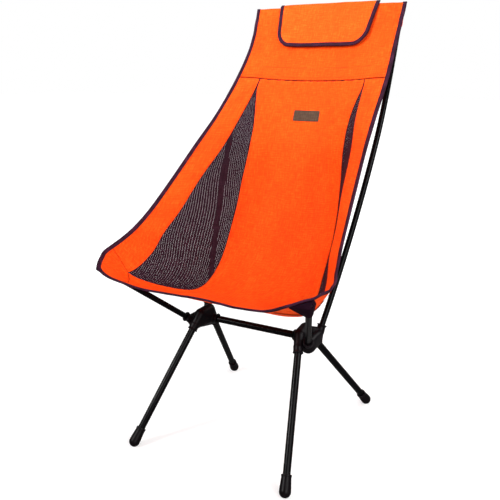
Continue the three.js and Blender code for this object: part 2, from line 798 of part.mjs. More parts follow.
// t runs from -1 at the fold above the top edge through 0 at the edge to 1 at the bottom.
function flapLevel(t) {
  if (t < 0) return { v: t * reachDown(0, 0, flapHem), lift: (1 + t) * flapLiftAt(0) };
  return { v: t * flapSpanShare, lift: flapLiftAt(t) };
}

const flapCornerShares = [0, 0.25, 0.5, 0.75, 0.92, 1].map((share) => 1 - flapRoundingShare * (1 - share));
const flapLevelShares = [-1, 0, 0.2, 0.4, 0.6, ...flapCornerShares];

function flapGrid(reach) {
  return flapLevelShares.map((t) => {
    return spread(-1, 1, 10).map((share) => {
      const place = flapPlace(share, t);
      const past = t === 1 ? reachDown(0, 0, reach) : 0;
      return { ...place, u: place.u + share * reachAcross(0, reach), v: place.v + past };
    });
  });
}

function makeFlap() {
  return sheetOver(flapGrid(0), underside, overside);
}

function makeFlapBinding() {
  const left = flapLevelShares.map((t) => flapPlace(-1, t));
  const bottom = spread(-1, 1, 6).slice(1, -1).map((share) => flapPlace(share, 1));
  const right = flapLevelShares.map((t) => flapPlace(1, t)).reverse();
  const bar = solidOf(tapeBar([...left, ...bottom, ...right], 0));
  const cutter = sheetOver(flapGrid(fitGap), underside - fitGap, overside + fitGap);
  return geometryOf(bar.subtract(solidOf(cutter)));
}

// The blank label patch below the cross seam.
const labelPlaceShare = 0.3; // of its middle

function makeLabel() {
  const halfShare = reachAcross(labelPlaceShare, labelWidth / 2);
  const riseShare = reachDown(0, labelPlaceShare, labelHeight / 2);
  const lift = fabricThickness / 2 + fitGap + labelThickness;
  const rowShares = spread(labelPlaceShare - riseShare, labelPlaceShare + riseShare, 2);
  const grid = rowShares.map((v) => spread(-halfShare, halfShare, 8).map((u) => ({ u, v, lift })));
  return sheetOver(grid, -labelThickness / 2, labelThickness / 2);
}

// The pockets hold the tips of the arms and of the back poles. Each is a pouch hung under or
// behind a corner of the fabric that tapers to a mouth round its tube.

function makePocket({ places, tip, direction, length }) {
  const radius = poleDiameter / 2 + 2 * fitGap;
  const mouth = pointAlong(tip, direction, -length);
  const outer = radius + pocketWall;
  const seam = places.map(({ u, v }) => {
    const { point, normal } = fabricFrame(u, v);
    return pointAlong(point, normal, -fabricThickness);
  });
  const pouch = new ConvexGeometry([
    ...seam,
    ...ringPoints(mouth, direction, outer, tubeSides),
    ...ringPoints(tip, direction, outer, tubeSides),
    pointAlong(tip, direction, pocketWall + fitGap),
  ]);
  const tunnelStart = pointAlong(mouth, direction, -cutOverrun);
  const tunnel = cylinderBetween(tunnelStart, pointAlong(tip, direction, fitGap), radius, boreSides);
  const aboveFabric = 6 * poleDiameter;
  let pocket = solidOf(pouch).subtract(solidOf(tunnel));
  for (const cutter of edgeCutter(aboveFabric)) pocket = pocket.subtract(cutter);
  return geometryOf(pocket.subtract(solidOf(tapeBar(edgePlaces(), fitGap))));
}

// The corners of each pocket's seam that don't follow its inset from the fabric's edge.
const frontPocketSeamShares = { inner: 0.83, frontOuter: 0.9, sideFront: 0.965, rear: 0.925 };
const backPocketSeamShares = { inner: 0.84, innerLow: 0.86 };

function makeFrontPocket() {
  const sideShare = 1 - reachAcross(1, pocketInset);
  const frontShare = 1 - reachDown(0, 1, pocketInset);
  const { inner, frontOuter, sideFront, rear } = frontPocketSeamShares;
  const places = [
    { u: inner, v: frontShare },
    { u: frontOuter, v: frontShare },
    { u: sideShare, v: sideFront },
    { u: frontOuter, v: rear },
  ];
  return makePocket({ places, tip: armTip, direction: armLine.direction, length: frontPocketLength });
}

function makeBackPocket() {
  const sideShare = 1 - reachAcross(0, pocketInset);
  const topShare = reachDown(0, 0, pocketInset);
  const lowShare = reachDown(0, 0, backPocketLength);
  const { inner, innerLow } = backPocketSeamShares;
  const places = [
    { u: inner, v: topShare },
    { u: sideShare, v: topShare },
    { u: innerLow, v: lowShare },
    { u: sideShare, v: lowShare },
  ];
  const direction = upperBow.getTangent(1);
  return makePocket({ places, tip: poleTip, direction, length: backPocketLength });
}

// Materials: each mesh gets its own copy.

const finishes = {
  tube: { color: 0x17131a, metalness: 0.85, roughness: 0.3 },
  plastic: { color: 0x241922, metalness: 0, roughness: 0.45 },
  fabric: { color: 0xff5a14, metalness: 0, roughness: 0.85 },
  mesh: { color: 0x6a6274, metalness: 0, roughness: 0.8, transparent: true, opacity: 0.6 },
  tape: { color: 0x4a2040, metalness: 0, roughness: 0.8 },
  webbing: { color: 0x1c1520, metalness: 0, roughness: 0.8 },
  label: { color: 0x5a3a30, metalness: 0, roughness: 0.6 },
};

function piece(name, finish, geometry) {
  const mesh = new THREE.Mesh(geometry, new THREE.MeshStandardMaterial(finishes[finish]));
  mesh.name = name;
  return mesh;
}

// Every piece of one side, in the place it has on the right.
const sidePieces = [
  ["hub", "plastic", makeHub()],
  ["leg_front", "tube", makeLeg(frontLegLine)],
  ["leg_rear", "tube", makeLeg(rearLegLine)],
  ["foot_front", "plastic", makeFoot(frontLegLine)],
  ["foot_rear", "plastic", makeFoot(rearLegLine)],
  ["arm", "tube", makeArm()],
  ["arm_plug", "plastic", makePlug(armTip, armLine.direction)],
  ["back_pole_lower", "tube", makeLowerPole()],
  ["back_pole_upper", "tube", makeUpperPole()],
  ["back_pole_ferrule", "tube", makeFerrule()],
  ["back_pole_plug", "plastic", makePlug(poleTip, upperBow.getTangent(1))],
  ["side_band", "fabric", makePanel(bandGrid(halfSeam, 0))],
  ["side_mesh", "mesh", makePanel(meshGrid(halfSeam))],
  ["corner_patch", "fabric", makePanel(patchGrid(halfSeam, 0))],
  ["pocket_front", "webbing", makeFrontPocket()],
  ["pocket_back", "fabric", makeBackPocket()],
];

const right = new THREE.Group();
const left = new THREE.Group();
left.scale.x = -1;
for (const [name, finish, geometry] of sidePieces) {
  right.add(piece(`${name}_right`, finish, geometry));
  left.add(piece(`${name}_left`, finish, geometry));
}

const middle = new THREE.Group();
middle.add(
  piece("crossbar", "tube", makeCrossbar()),
  piece("top_panel", "fabric", makePanel(topPanelGrid(halfSeam, 0))),
  piece("centre_panel", "fabric", makePanel(centrePanelGrid(halfSeam, 0))),
  piece("edge_binding", "tape", makeEdgeBinding()),
  piece("headrest_flap", "fabric", makeFlap()),
  piece("flap_binding", "tape", makeFlapBinding()),
  piece("label_patch", "label", makeLabel()),
);

// The chair's own frame has its origin on the floor, under the middle of its bounding box.
const chair = new THREE.Group();
chair.add(right, left, middle);
const box = new THREE.Box3().setFromObject(chair);
chair.position.y = -(box.min.y + box.max.y) / 2;

export default chair;
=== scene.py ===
import math

import bpy
import numpy as np
from mathutils import Matrix, Vector


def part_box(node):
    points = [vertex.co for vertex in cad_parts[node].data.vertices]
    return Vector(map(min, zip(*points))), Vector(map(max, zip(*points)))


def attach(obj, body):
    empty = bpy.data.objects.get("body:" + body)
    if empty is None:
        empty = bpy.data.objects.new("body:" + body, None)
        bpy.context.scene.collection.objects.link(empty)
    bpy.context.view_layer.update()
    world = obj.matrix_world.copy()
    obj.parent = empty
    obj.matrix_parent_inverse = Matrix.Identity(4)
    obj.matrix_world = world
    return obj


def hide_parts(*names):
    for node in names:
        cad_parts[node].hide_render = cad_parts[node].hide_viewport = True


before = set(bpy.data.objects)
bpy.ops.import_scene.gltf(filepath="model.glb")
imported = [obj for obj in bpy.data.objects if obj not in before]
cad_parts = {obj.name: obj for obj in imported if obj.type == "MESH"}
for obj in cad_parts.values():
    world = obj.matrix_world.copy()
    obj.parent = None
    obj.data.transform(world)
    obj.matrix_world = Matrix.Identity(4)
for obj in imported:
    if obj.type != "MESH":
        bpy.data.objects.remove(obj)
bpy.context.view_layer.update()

MM = 0.001

# Camera: the photograph's own view, given from the middle of the crossbar
LENS = 47.63
SENSOR = 36.0
CAMERA_FROM_BAR = Vector((0.6937, -1.2465, 0.5641))
TARGET_FROM_BAR = Vector((-0.02434, 0.020, 0.17444))

bar_low, bar_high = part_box("crossbar")
BAR = (bar_low + bar_high) / 2

camera = bpy.data.objects.new("camera", bpy.data.cameras.new("camera"))
bpy.context.scene.collection.objects.link(camera)
camera.data.lens = LENS
camera.data.sensor_width = SENSOR
camera.location = BAR + CAMERA_FROM_BAR
camera.rotation_mode = "QUATERNION"
camera.rotation_quaternion = (TARGET_FROM_BAR - CAMERA_FROM_BAR).to_track_quat("-Z", "Y")
camera.data.clip_end = 60
bpy.context.scene.camera = camera

# The part's own sizes, in metres: the same lines that its solids are built on.

HUB_HALF_SPACING = 0.143
LEG_RADIUS = 0.008
POLE_RADIUS = 0.0065
LEG_WALL = 0.0012
POLE_WALL = 0.001
FOOT_BALL_RADIUS = 0.0122
FOOT_BALL_HEIGHT = 0.011
FOOT_SOCKET_FLOOR = 0.004
ARM_REACH = 0.2632
LOWER_REACH = 0.444
LOWER_BOW = 0.0053
UPPER_REACH = 0.346
UPPER_BEND_SHARE = 0.3
PLUG_HEAD = 0.006
FIT_GAP = 0.0003
FABRIC_THICKNESS = 0.0015
BINDING_WIDTH = 0.008
BINDING_THICKNESS = 0.001
CORNER_SHARE = 0.1


def heading(splay, lean, rise):
    v = np.array([math.tan(math.radians(splay)), math.tan(math.radians(lean)), rise])
    return v / np.linalg.norm(v)


HUB = np.array([HUB_HALF_SPACING, BAR.y, BAR.z])
FRONT_LEG = {"mouth": HUB + (-0.0064, -0.056, -0.016), "way": heading(13.4, -35.8, -1), "insert": 0.036}
REAR_LEG = {"mouth": HUB + (-0.0028, 0.050, -0.034), "way": heading(15, 41.5, -1), "insert": 0.025}
ARM = {"mouth": HUB + (0.0145, -0.050, 0.012), "way": heading(28.34, -50.46, 1), "insert": 0.034}
POLE = {"mouth": HUB + (0.0077, 0.0344, 0.017), "way": heading(9.3, 24.84, 1), "insert": 0.030}

ARM_TIP = ARM["mouth"] + ARM["way"] * ARM_REACH
POLE_JOINT = POLE["mouth"] + heading(6.21, 24.84, 1) * LOWER_REACH
LOWER_MIDDLE = (POLE["mouth"] + POLE_JOINT) / 2 + (2 * LOWER_BOW, 0, 0)
JOINT_WAY = (POLE_JOINT - LOWER_MIDDLE) / np.linalg.norm(POLE_JOINT - LOWER_MIDDLE)
POLE_TIP = POLE_JOINT + heading(-2.4, 29.8, 1) * UPPER_REACH
UPPER_MIDDLE = POLE_JOINT + JOINT_WAY * UPPER_BEND_SHARE * UPPER_REACH


def bow(a, b, c, t):
    """A quadratic curve from a to c, pulled towards b."""
    t = np.asarray(t, float)[:, None]
    return (1 - t) ** 2 * a + 2 * t * (1 - t) * b + t ** 2 * c


# The fabric surface: u runs across from -1 to 1, v from 0 at the top edge to 1 at the front edge.
# Each rib gives v, then places at the middle, at 0.4, 0.6 and 0.8 and at the edge, and the half width.
# In the ribs from 0.68 to 0.90 the seat hangs up to 9 mm higher than the frame's panels do, because
# the photo shows its lowest line that much higher. Everything sewn to the seat follows these ribs.

U_KNOTS = np.array([-1, -0.8, -0.6, -0.4, 0, 0.4, 0.6, 0.8, 1])
RIBS = np.array([
    [0.00, 0.981, 1.016, 0.978, 1.016, 0.976, 1.015, 0.973, 1.014, 0.969, 1.013, 1.097],
    [0.10, 0.915, 0.850, 0.912, 0.851, 0.909, 0.852, 0.905, 0.854, 0.902, 0.854, 1.043],
    [0.20, 0.838, 0.684, 0.830, 0.687, 0.822, 0.691, 0.811, 0.697, 0.797, 0.700, 1.031],
    [0.30, 0.789, 0.532, 0.772, 0.532, 0.734, 0.532, 0.670, 0.532, 0.642, 0.532, 1.029],
    [0.38, 0.749, 0.417, 0.734, 0.417, 0.683, 0.417, 0.588, 0.417, 0.521, 0.417, 1.048],
    [0.48, 0.704, 0.264, 0.710, 0.266, 0.634, 0.271, 0.467, 0.280, 0.391, 0.284, 1.075],
    [0.58, 0.645, 0.082, 0.640, 0.086, 0.580, 0.112, 0.385, 0.160, 0.279, 0.174, 1.095],
    [0.68, 0.545, -0.090, 0.540, -0.078, 0.482, -0.055, 0.302, 0.062, 0.205, 0.112, 1.106],
    [0.78, 0.385, -0.172, 0.385, -0.172, 0.378, -0.168, 0.245, -0.035, 0.151, 0.076, 1.115],
    [0.90, 0.172, -0.140, 0.175, -0.131, 0.168, -0.131, 0.120, -0.080, 0.079, 0.041, 1.123],
    [1.00, 0.006, -0.054, 0.001, -0.058, -0.016, -0.045, -0.047, -0.006, -0.006, 0.028, 1.037],
])
CROSS_SEAM = 0.2
MESH_TOP = 0.225
MESH_FOOT = 0.858
MESH_TIP = 0.8925
PATCH_SIDE = 0.862
INNER_SEAM = np.array([
    [0.2, 0.695], [0.225, 0.69], [0.25, 0.66], [0.287, 0.62], [0.335, 0.586], [0.4, 0.57], [0.5, 0.57],
    [0.605, 0.562], [0.7, 0.545], [0.765, 0.56], [0.82, 0.59], [0.845, 0.64], [0.868, 0.72], [0.8925, 0.838],
])
OUTER_SEAM = np.array([
    [0.2, 0.703], [0.264, 0.714], [0.332, 0.74], [0.394, 0.764], [0.452, 0.784], [0.538, 0.806],
    [0.626, 0.82], [0.7, 0.831], [0.79, 0.844], [0.8925, 0.85],
])
PATCH_SEAM = np.array([[0.8925, 0.85], [0.9425, 0.752], [1, 0.67]])


def smooth(knots, values, t):
    """A smooth curve through values at uneven knots. values may hold one column per t."""
    t = np.asarray(t, float)
    gaps = np.diff(knots)
    shape = (-1,) + (1,) * (values.ndim - 1)
    rates = np.diff(values, axis=0) / gaps.reshape(shape)
    before, after = gaps[:-1].reshape(shape), gaps[1:].reshape(shape)
    slopes = np.concatenate([
        rates[:1], (rates[:-1] * after + rates[1:] * before) / (before + after), rates[-1:],
    ])
    i = np.clip(np.searchsorted(knots, t) - 1, 0, len(knots) - 2)
    at = (lambda a, k: a[k, np.arange(len(t))]) if values.ndim == 2 else (lambda a, k: a[k])
    s, span = (t - knots[i]) / gaps[i], gaps[i]
    r = 1 - s
    return ((1 + 2 * s) * r * r * at(values, i) + s * r * r * at(slopes, i) * span
            + s * s * (3 - 2 * s) * at(values, i + 1) - s * s * r * at(slopes, i + 1) * span)


def half_width(v):
    v = np.asarray(v, float)
    return smooth(RIBS[:, 0], RIBS[:, -1], v) * (POLE_TIP[0] + (ARM_TIP[0] - POLE_TIP[0]) * v)


def fabric(u, v):
    """Points of the fabric surface for arrays of u and v."""
    u, v = (a.ravel() for a in np.broadcast_arrays(np.asarray(u, float), np.asarray(v, float)))
    out = [u * half_width(v)]
    for axis in (0, 1):
        middle, *side = (smooth(RIBS[:, 0], RIBS[:, 1 + 2 * k + axis], v) for k in range(5))
        place = smooth(U_KNOTS, np.array([*side[::-1], middle, *side]), u)
        out.append(ARM_TIP[1 + axis] + (POLE_TIP[1 + axis] - ARM_TIP[1 + axis]) * place)
    return np.stack(out, axis=1)


SLOPE_STEP = 0.001


def unit(a):
    return a / np.linalg.norm(a, axis=-1, keepdims=True)


def fabric_frame(u, v):
    """Points, slopes across and down, and the normals on the sitter's side."""
    u, v = (a.ravel() for a in np.broadcast_arrays(np.asarray(u, float), np.asarray(v, float)))
    across = (fabric(u + SLOPE_STEP, v) - fabric(u - SLOPE_STEP, v)) / (2 * SLOPE_STEP)
    down = (fabric(u, v + SLOPE_STEP) - fabric(u, v - SLOPE_STEP)) / (2 * SLOPE_STEP)
    return fabric(u, v), across, down, unit(np.cross(down, across))


def across_share(v, distance):
    """The step in u that covers a distance across the fabric."""
    return distance / half_width(np.atleast_1d(v))


def down_share(u, v, distance):
    """The step in v that covers a distance down the fabric."""
    down = fabric_frame(np.atleast_1d(u), np.atleast_1d(v))[2]
    return distance / np.linalg.norm(down, axis=1)


def along(seam, v):
    """A seam's u for a given v, rounded through its points."""
    fine = np.linspace(seam[0, 0], seam[-1, 0], 400)
    straight = np.interp(fine, seam[:, 0], seam[:, 1])
    curved = smooth(seam[:, 0], seam[:, 1], fine)
    return np.interp(v, fine, (straight + curved) / 2)


LENGTH_V = np.linspace(-0.02, 1.02, 1041)
LENGTH_RUN = np.concatenate([[0], np.cumsum(np.linalg.norm(
    np.diff(fabric(np.zeros(1041), LENGTH_V), axis=0), axis=1))])


def run_down(v):
    """The distance down the middle of the fabric, for the weave's own coordinates."""
    return np.interp(v, LENGTH_V, LENGTH_RUN)


def relief(u, v):
    """How far the stretched fabric stands off its plain surface: soft folds that every panel shares."""
    u, v = (a.ravel() for a in np.broadcast_arrays(np.asarray(u, float), np.asarray(v, float)))
    x, y = u * half_width(v), run_down(v)
    side = np.abs(u)
    soft = 0.00035 * np.sin(x * 61 + 1.3 * np.sin(y * 9)) * np.sin(y * 13 + 0.6)
    soft += 0.00022 * np.sin(x * 127 + 2.1 * np.sin(y * 17 + 1)) * np.sin(y * 29 + x * 40)
    reach = np.exp(-((1 - side) / 0.16) ** 2) * np.exp(-((v - 0.93) / 0.075) ** 2)
    soft += 0.0011 * reach * np.sin((side * 0.24 - v * 0.45) * 190)
    pulled = np.exp(-((v - 0.03) / 0.07) ** 2) * np.exp(-((1 - side) / 0.22) ** 2)
    soft += 0.0008 * pulled * np.sin((side * 0.22 + v * 0.9) * 150)
    return soft


# Mesh makers


def add_mesh(name, points, faces, material, uv=None, smooth_angle=38):
    """A mesh object from points and faces. uv holds one pair of metres a point."""
    mesh = bpy.data.meshes.new(name)
    mesh.from_pydata([tuple(p) for p in points], [], [tuple(int(i) for i in f) for f in faces])
    mesh.validate()
    if uv is not None:
        layer = mesh.uv_layers.new(name="weave")
        index = np.zeros(len(mesh.loops), np.int32)
        mesh.loops.foreach_get("vertex_index", index)
        layer.data.foreach_set("uv", np.asarray(uv, np.float32)[index].ravel())
    mesh.materials.append(material)
    mesh.shade_smooth()
    mesh.set_sharp_from_angle(angle=math.radians(smooth_angle))
    mesh.update()
    obj = bpy.data.objects.new(name, mesh)
    bpy.context.scene.collection.objects.link(obj)
    return obj


def grid_faces(rows, columns, start=0, flip=False):
    i, j = np.meshgrid(np.arange(rows - 1), np.arange(columns - 1), indexing="ij")
    a = (start + i * columns + j).ravel()
    quads = np.stack([a, a + columns, a + columns + 1, a + 1], axis=1)
    return quads[:, ::-1] if flip else quads


def rim_faces(rows, columns, under):
    """Walls between an upper grid that starts at 0 and a lower grid that starts at under."""
    ring = ([(0, j) for j in range(columns - 1)] + [(i, columns - 1) for i in range(rows - 1)]
            + [(rows - 1, j) for j in range(columns - 1, 0, -1)] + [(i, 0) for i in range(rows - 1, 0, -1)])
    ids = np.array([i * columns + j for i, j in ring])
    nxt = np.roll(ids, -1)
    return np.stack([ids, nxt, nxt + under, ids + under], axis=1)


def sheet_between(name, u, v, over, under, material):
    """A closed sheet over a grid of u and v, between two heights over the fabric surface."""
    rows, columns = u.shape
    point, _, _, normal = fabric_frame(u, v)
    points = np.concatenate([point + normal * over.ravel()[:, None], point + normal * under.ravel()[:, None]])
    uv = np.stack([u.ravel() * half_width(v.ravel()), run_down(v.ravel())], axis=1)
    size = rows * columns
    faces = np.concatenate([
        grid_faces(rows, columns), grid_faces(rows, columns, size, flip=True), rim_faces(rows, columns, size),
    ])
    return add_mesh(name, points, faces, material, np.concatenate([uv, uv]))


def sweep(name, path, normals, outs, section, material, closed=False, uv_scale=1.0):
    """A closed section (out, up pairs) swept along a path, with capped ends."""
    steps, sides = len(path), len(section)
    points = (path[:, None, :] + outs[:, None, :] * section[None, :, :1] + normals[:, None, :] * section[None, :, 1:])
    i, k = np.meshgrid(np.arange(steps if closed else steps - 1), np.arange(sides), indexing="ij")
    a, b = i * sides + k, i * sides + (k + 1) % sides
    c, d = ((i + 1) % steps) * sides + (k + 1) % sides, ((i + 1) % steps) * sides + k
    faces = [list(f) for f in np.stack([a.ravel(), b.ravel(), c.ravel(), d.ravel()], axis=1)]
    if not closed:
        faces += [list(range(sides))[::-1], [(steps - 1) * sides + s for s in range(sides)]]
    run = np.concatenate([[0], np.cumsum(np.linalg.norm(np.diff(path, axis=0), axis=1))])
    girth = np.concatenate([[0], np.cumsum(np.linalg.norm(np.diff(section, axis=0), axis=1))])
    uv = np.stack(np.broadcast_arrays(girth[None, :], run[:, None]), axis=2).reshape(-1, 2) * uv_scale
    return add_mesh(name, points.reshape(-1, 3), faces, material, uv)


def ring_frames(path):
    """Two directions square to a path, carried along it without twist."""
    ways = unit(np.gradient(path, axis=0))
    side = np.cross(ways[0], (0, 0, 1) if abs(ways[0][2]) < 0.9 else (0, 1, 0))
    sides = []
    for way in ways:
        side = side - way * np.dot(side, way)
        side = side / np.linalg.norm(side)
        sides.append(side)
    sides = np.array(sides)
    return ways, sides, np.cross(ways, sides)


def turn_along(name, path, profile, material, sides=40):
    """A turned solid: profile is (place along the path's length, radius) pairs, closed on itself or on the axis."""
    run = np.concatenate([[0], np.cumsum(np.linalg.norm(np.diff(path, axis=0), axis=1))])
    ways, first, second = ring_frames(path)
    pick = lambda a, s: np.array([np.interp(s, run, a[:, k]) for k in range(3)]).T
    s, r = np.array(profile)[:, 0], np.array(profile)[:, 1]
    centre, one, two = pick(path, s), unit(pick(first, s)), unit(pick(second, s))
    beyond = s - np.clip(s, 0, run[-1])
    centre += np.where(beyond[:, None] < 0, ways[0], ways[-1]) * beyond[:, None]
    angle = np.linspace(0, 2 * math.pi, sides, endpoint=False)
    points = (centre[:, None, :] + r[:, None, None] * (one[:, None, :] * np.cos(angle)[None, :, None]
              + two[:, None, :] * np.sin(angle)[None, :, None]))
    count = len(profile)
    i, k = np.meshgrid(np.arange(count), np.arange(sides), indexing="ij")
    nxt = (i + 1) % count
    faces = np.stack([i * sides + k, i * sides + (k + 1) % sides, nxt * sides + (k + 1) % sides, nxt * sides + k],
                     axis=2).reshape(-1, 4)
    girth = angle / (2 * math.pi) * 2 * math.pi * 0.0075
    uv = np.stack(np.broadcast_arrays(girth[None, :], s[:, None]), axis=2).reshape(-1, 2)
    obj = add_mesh(name, points.reshape(-1, 3), faces, material, uv)
    weld(obj)
    return obj


def weld(obj, distance=1e-6):
    import bmesh
    bm = bmesh.new()
    bm.from_mesh(obj.data)
    bmesh.ops.remove_doubles(bm, verts=bm.verts, dist=distance)
    bmesh.ops.recalc_face_normals(bm, faces=bm.faces)
    bm.to_mesh(obj.data)
    bm.free()


def mirror(obj, name):
    """The same piece on the chair's other side."""
    mesh = obj.data.copy()
    mesh.transform(Matrix.Scale(-1, 4, (1, 0, 0)))
    mesh.flip_normals()
    twin = bpy.data.objects.new(name, mesh)
    bpy.context.scene.collection.objects.link(twin)
    return twin


def soften(node, name, voxel, rounds, material, factor=0.5):
    """A rounded copy of a CAD solid: remeshed evenly, then smoothed, so that its edges get small fillets."""
    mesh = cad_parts[node].data.copy()
    mesh.materials.clear()
    work = bpy.data.objects.new(name, mesh)
    bpy.context.scene.collection.objects.link(work)
    weld(work, 1e-5)
    even = work.modifiers.new("even", "REMESH")
    even.mode = "VOXEL"
    even.voxel_size = voxel
    even.adaptivity = 0
    ease = work.modifiers.new("ease", "SMOOTH")
    ease.factor = factor
    ease.iterations = rounds
    made = bpy.data.meshes.new_from_object(work.evaluated_get(bpy.context.evaluated_depsgraph_get()))
    bpy.data.objects.remove(work)
    made.materials.clear()
    made.materials.append(material)
    made.shade_smooth()
    obj = bpy.data.objects.new(name, made)
    bpy.context.scene.collection.objects.link(obj)
    return obj


# Materials


def srgb(code):
    parts = [int(code[i:i + 2], 16) / 255 for i in (1, 3, 5)]
    return tuple(c / 12.92 if c <= 0.04045 else ((c + 0.055) / 1.055) ** 2.4 for c in parts) + (1.0,)


def new_material(name):
    material = bpy.data.materials.new(name)
    material.use_nodes = True
    tree = material.node_tree
    return material, tree, tree.nodes["Principled BSDF"]


def node(tree, kind, **settings):
    made = tree.nodes.new(kind)
    for key, value in settings.items():
        if key in made.inputs:
            made.inputs[key].default_value = value
        else:
            setattr(made, key, value)
    return made


def coordinates(tree, source, scale):
    """Texture coordinates times a scale on each axis."""
    if source == "weave":
        start = node(tree, "ShaderNodeUVMap", uv_map="weave").outputs["UV"]
    else:
        start = node(tree, "ShaderNodeTexCoord").outputs["Object"]
    mapping = node(tree, "ShaderNodeMapping")
    mapping.inputs["Scale"].default_value = scale
    tree.links.new(start, mapping.inputs["Vector"])
    return mapping.outputs["Vector"]


def ramp(tree, value, stops):
    made = tree.nodes.new("ShaderNodeValToRGB")
    elements = made.color_ramp.elements
    while len(elements) < len(stops):
        elements.new(0.5)
    for element, (place, colour) in zip(elements, stops):
        element.position = place
        element.color = colour
    tree.links.new(value, made.inputs["Fac"])
    return made.outputs["Color"]


def mix_colour(tree, a, b, factor, blend="MIX"):
    made = tree.nodes.new("ShaderNodeMix")
    made.data_type = "RGBA"
    made.blend_type = blend
    for socket, value in ((made.inputs["Factor"], factor), (made.inputs[6], a), (made.inputs[7], b)):
        if hasattr(value, "links") or isinstance(value, bpy.types.NodeSocket):
            tree.links.new(value, socket)
        else:
            socket.default_value = value
    return made.outputs[2]


def noise(tree, vector, scale, detail=3.0, roughness=0.55, distortion=0.0):
    made = node(tree, "ShaderNodeTexNoise", Scale=scale, Detail=detail, Roughness=roughness, Distortion=distortion)
    tree.links.new(vector, made.inputs["Vector"])
    return made.outputs["Fac"]


def math_node(tree, operation, a, b=None):
    made = node(tree, "ShaderNodeMath", operation=operation)
    for socket, value in zip(made.inputs, (a, b)):
        if value is None:
            continue
        if isinstance(value, bpy.types.NodeSocket):
            tree.links.new(value, socket)
        else:
            socket.default_value = value
    return made.outputs["Value"]


def bump(tree, height, strength, distance, after=None):
    made = node(tree, "ShaderNodeBump", Strength=strength, Distance=distance)
    tree.links.new(height, made.inputs["Height"])
    if after is not None:
        tree.links.new(after, made.inputs["Normal"])
    return made.outputs["Normal"]


def weave_height(tree, pitch):
    """A plain weave: threads that pass over and under each other, one pitch apart."""
    place = coordinates(tree, "weave", (math.pi / pitch, math.pi / pitch, 1))
    split = node(tree, "ShaderNodeSeparateXYZ")
    tree.links.new(place, split.inputs["Vector"])
    x, y = split.outputs["X"], split.outputs["Y"]
    sine_x, sine_y = math_node(tree, "SINE", x), math_node(tree, "SINE", y)
    over = math_node(tree, "MULTIPLY", sine_x, sine_y)
    return math_node(tree, "ABSOLUTE", math_node(tree, "ADD", over, math_node(tree, "MULTIPLY", sine_x, 0.35)))


def cloth_material(name, deep, plain, pale, pitch=0.0009, roughness=0.8, sheen=0.06, weave=0.35, gloss=0.1):
    """Woven cloth: a plain weave with painted shade in its low spots, slubs and finer threads both ways, soft patches
    and a little fuzz.
    """
    material, tree, shader = new_material(name)
    slubs = math_node(
        tree, "ADD",
        noise(tree, coordinates(tree, "weave", (430, 42, 1)), 1.0, 2.0, 0.6),
        noise(tree, coordinates(tree, "weave", (46, 400, 1)), 1.0, 2.0, 0.6))
    threads = math_node(
        tree, "ADD",
        noise(tree, coordinates(tree, "weave", (1100, 60, 1)), 1.0, 1.0),
        noise(tree, coordinates(tree, "weave", (60, 1100, 1)), 1.0, 1.0))
    streaks = math_node(
        tree, "ADD", math_node(tree, "MULTIPLY", slubs, 0.7), math_node(tree, "MULTIPLY", threads, 0.3))
    patches = noise(tree, coordinates(tree, "weave", (14, 9, 1)), 1.0, 4.0, 0.6, 0.4)
    mixed = math_node(
        tree, "ADD", math_node(tree, "MULTIPLY", streaks, 0.42), math_node(tree, "MULTIPLY", patches, 0.16))
    colour = ramp(tree, mixed, [(0.38, srgb(deep)), (0.5, srgb(plain)), (0.62, srgb(pale))])
    height = weave_height(tree, pitch)
    # Painted shade: the weave's low spots are darkened to 0.86 of the colour, standing for the shade between the
    # threads.
    weave_painted_shade = ramp(tree, height, [(0.0, (0.86, 0.86, 0.86, 1)), (0.5, (1, 1, 1, 1))])
    tree.links.new(mix_colour(tree, colour, weave_painted_shade, 1.0, "MULTIPLY"), shader.inputs["Base Color"])
    rough = math_node(tree, "ADD", math_node(tree, "MULTIPLY", patches, 0.16), roughness - 0.08)
    tree.links.new(rough, shader.inputs["Roughness"])
    cloth = bump(tree, height, weave, 0.0003)
    tree.links.new(bump(tree, streaks, 0.25, 0.0004, cloth), shader.inputs["Normal"])
    shader.inputs["Sheen Weight"].default_value = sheen
    shader.inputs["Sheen Roughness"].default_value = 0.45
    shader.inputs["Sheen Tint"].default_value = srgb(pale)
    shader.inputs["Specular IOR Level"].default_value = gloss
    return material


def tape_material(name, deep, plain, pale):
    """Binding tape with fine ribs across it."""
    material, tree, shader = new_material(name)
    place = coordinates(tree, "weave", (200, 1100, 1))
    patches = noise(tree, coordinates(tree, "weave", (60, 40, 1)), 1.0, 3.0)
    wave = node(tree, "ShaderNodeTexWave", bands_direction="Y", Scale=1.0, Distortion=0.6)
    wave.inputs["Detail"].default_value = 1.0
    tree.links.new(coordinates(tree, "weave", (300, 330, 1)), wave.inputs["Vector"])
    threads = noise(tree, place, 1.0, 2.0)
    mixed = math_node(tree, "ADD", math_node(tree, "MULTIPLY", patches, 0.6), math_node(tree, "MULTIPLY", threads, 0.4))
    colour = ramp(tree, mixed, [(0.35, srgb(deep)), (0.5, srgb(plain)), (0.68, srgb(pale))])
    tree.links.new(colour, shader.inputs["Base Color"])
    tree.links.new(math_node(tree, "ADD", math_node(tree, "MULTIPLY", threads, 0.2), 0.6), shader.inputs["Roughness"])
    tree.links.new(bump(tree, wave.outputs["Fac"], 0.4, 0.0003), shader.inputs["Normal"])
    shader.inputs["Sheen Weight"].default_value = 0.05
    shader.inputs["Sheen Tint"].default_value = srgb(pale)
    shader.inputs["Specular IOR Level"].default_value = 0.12
    return material


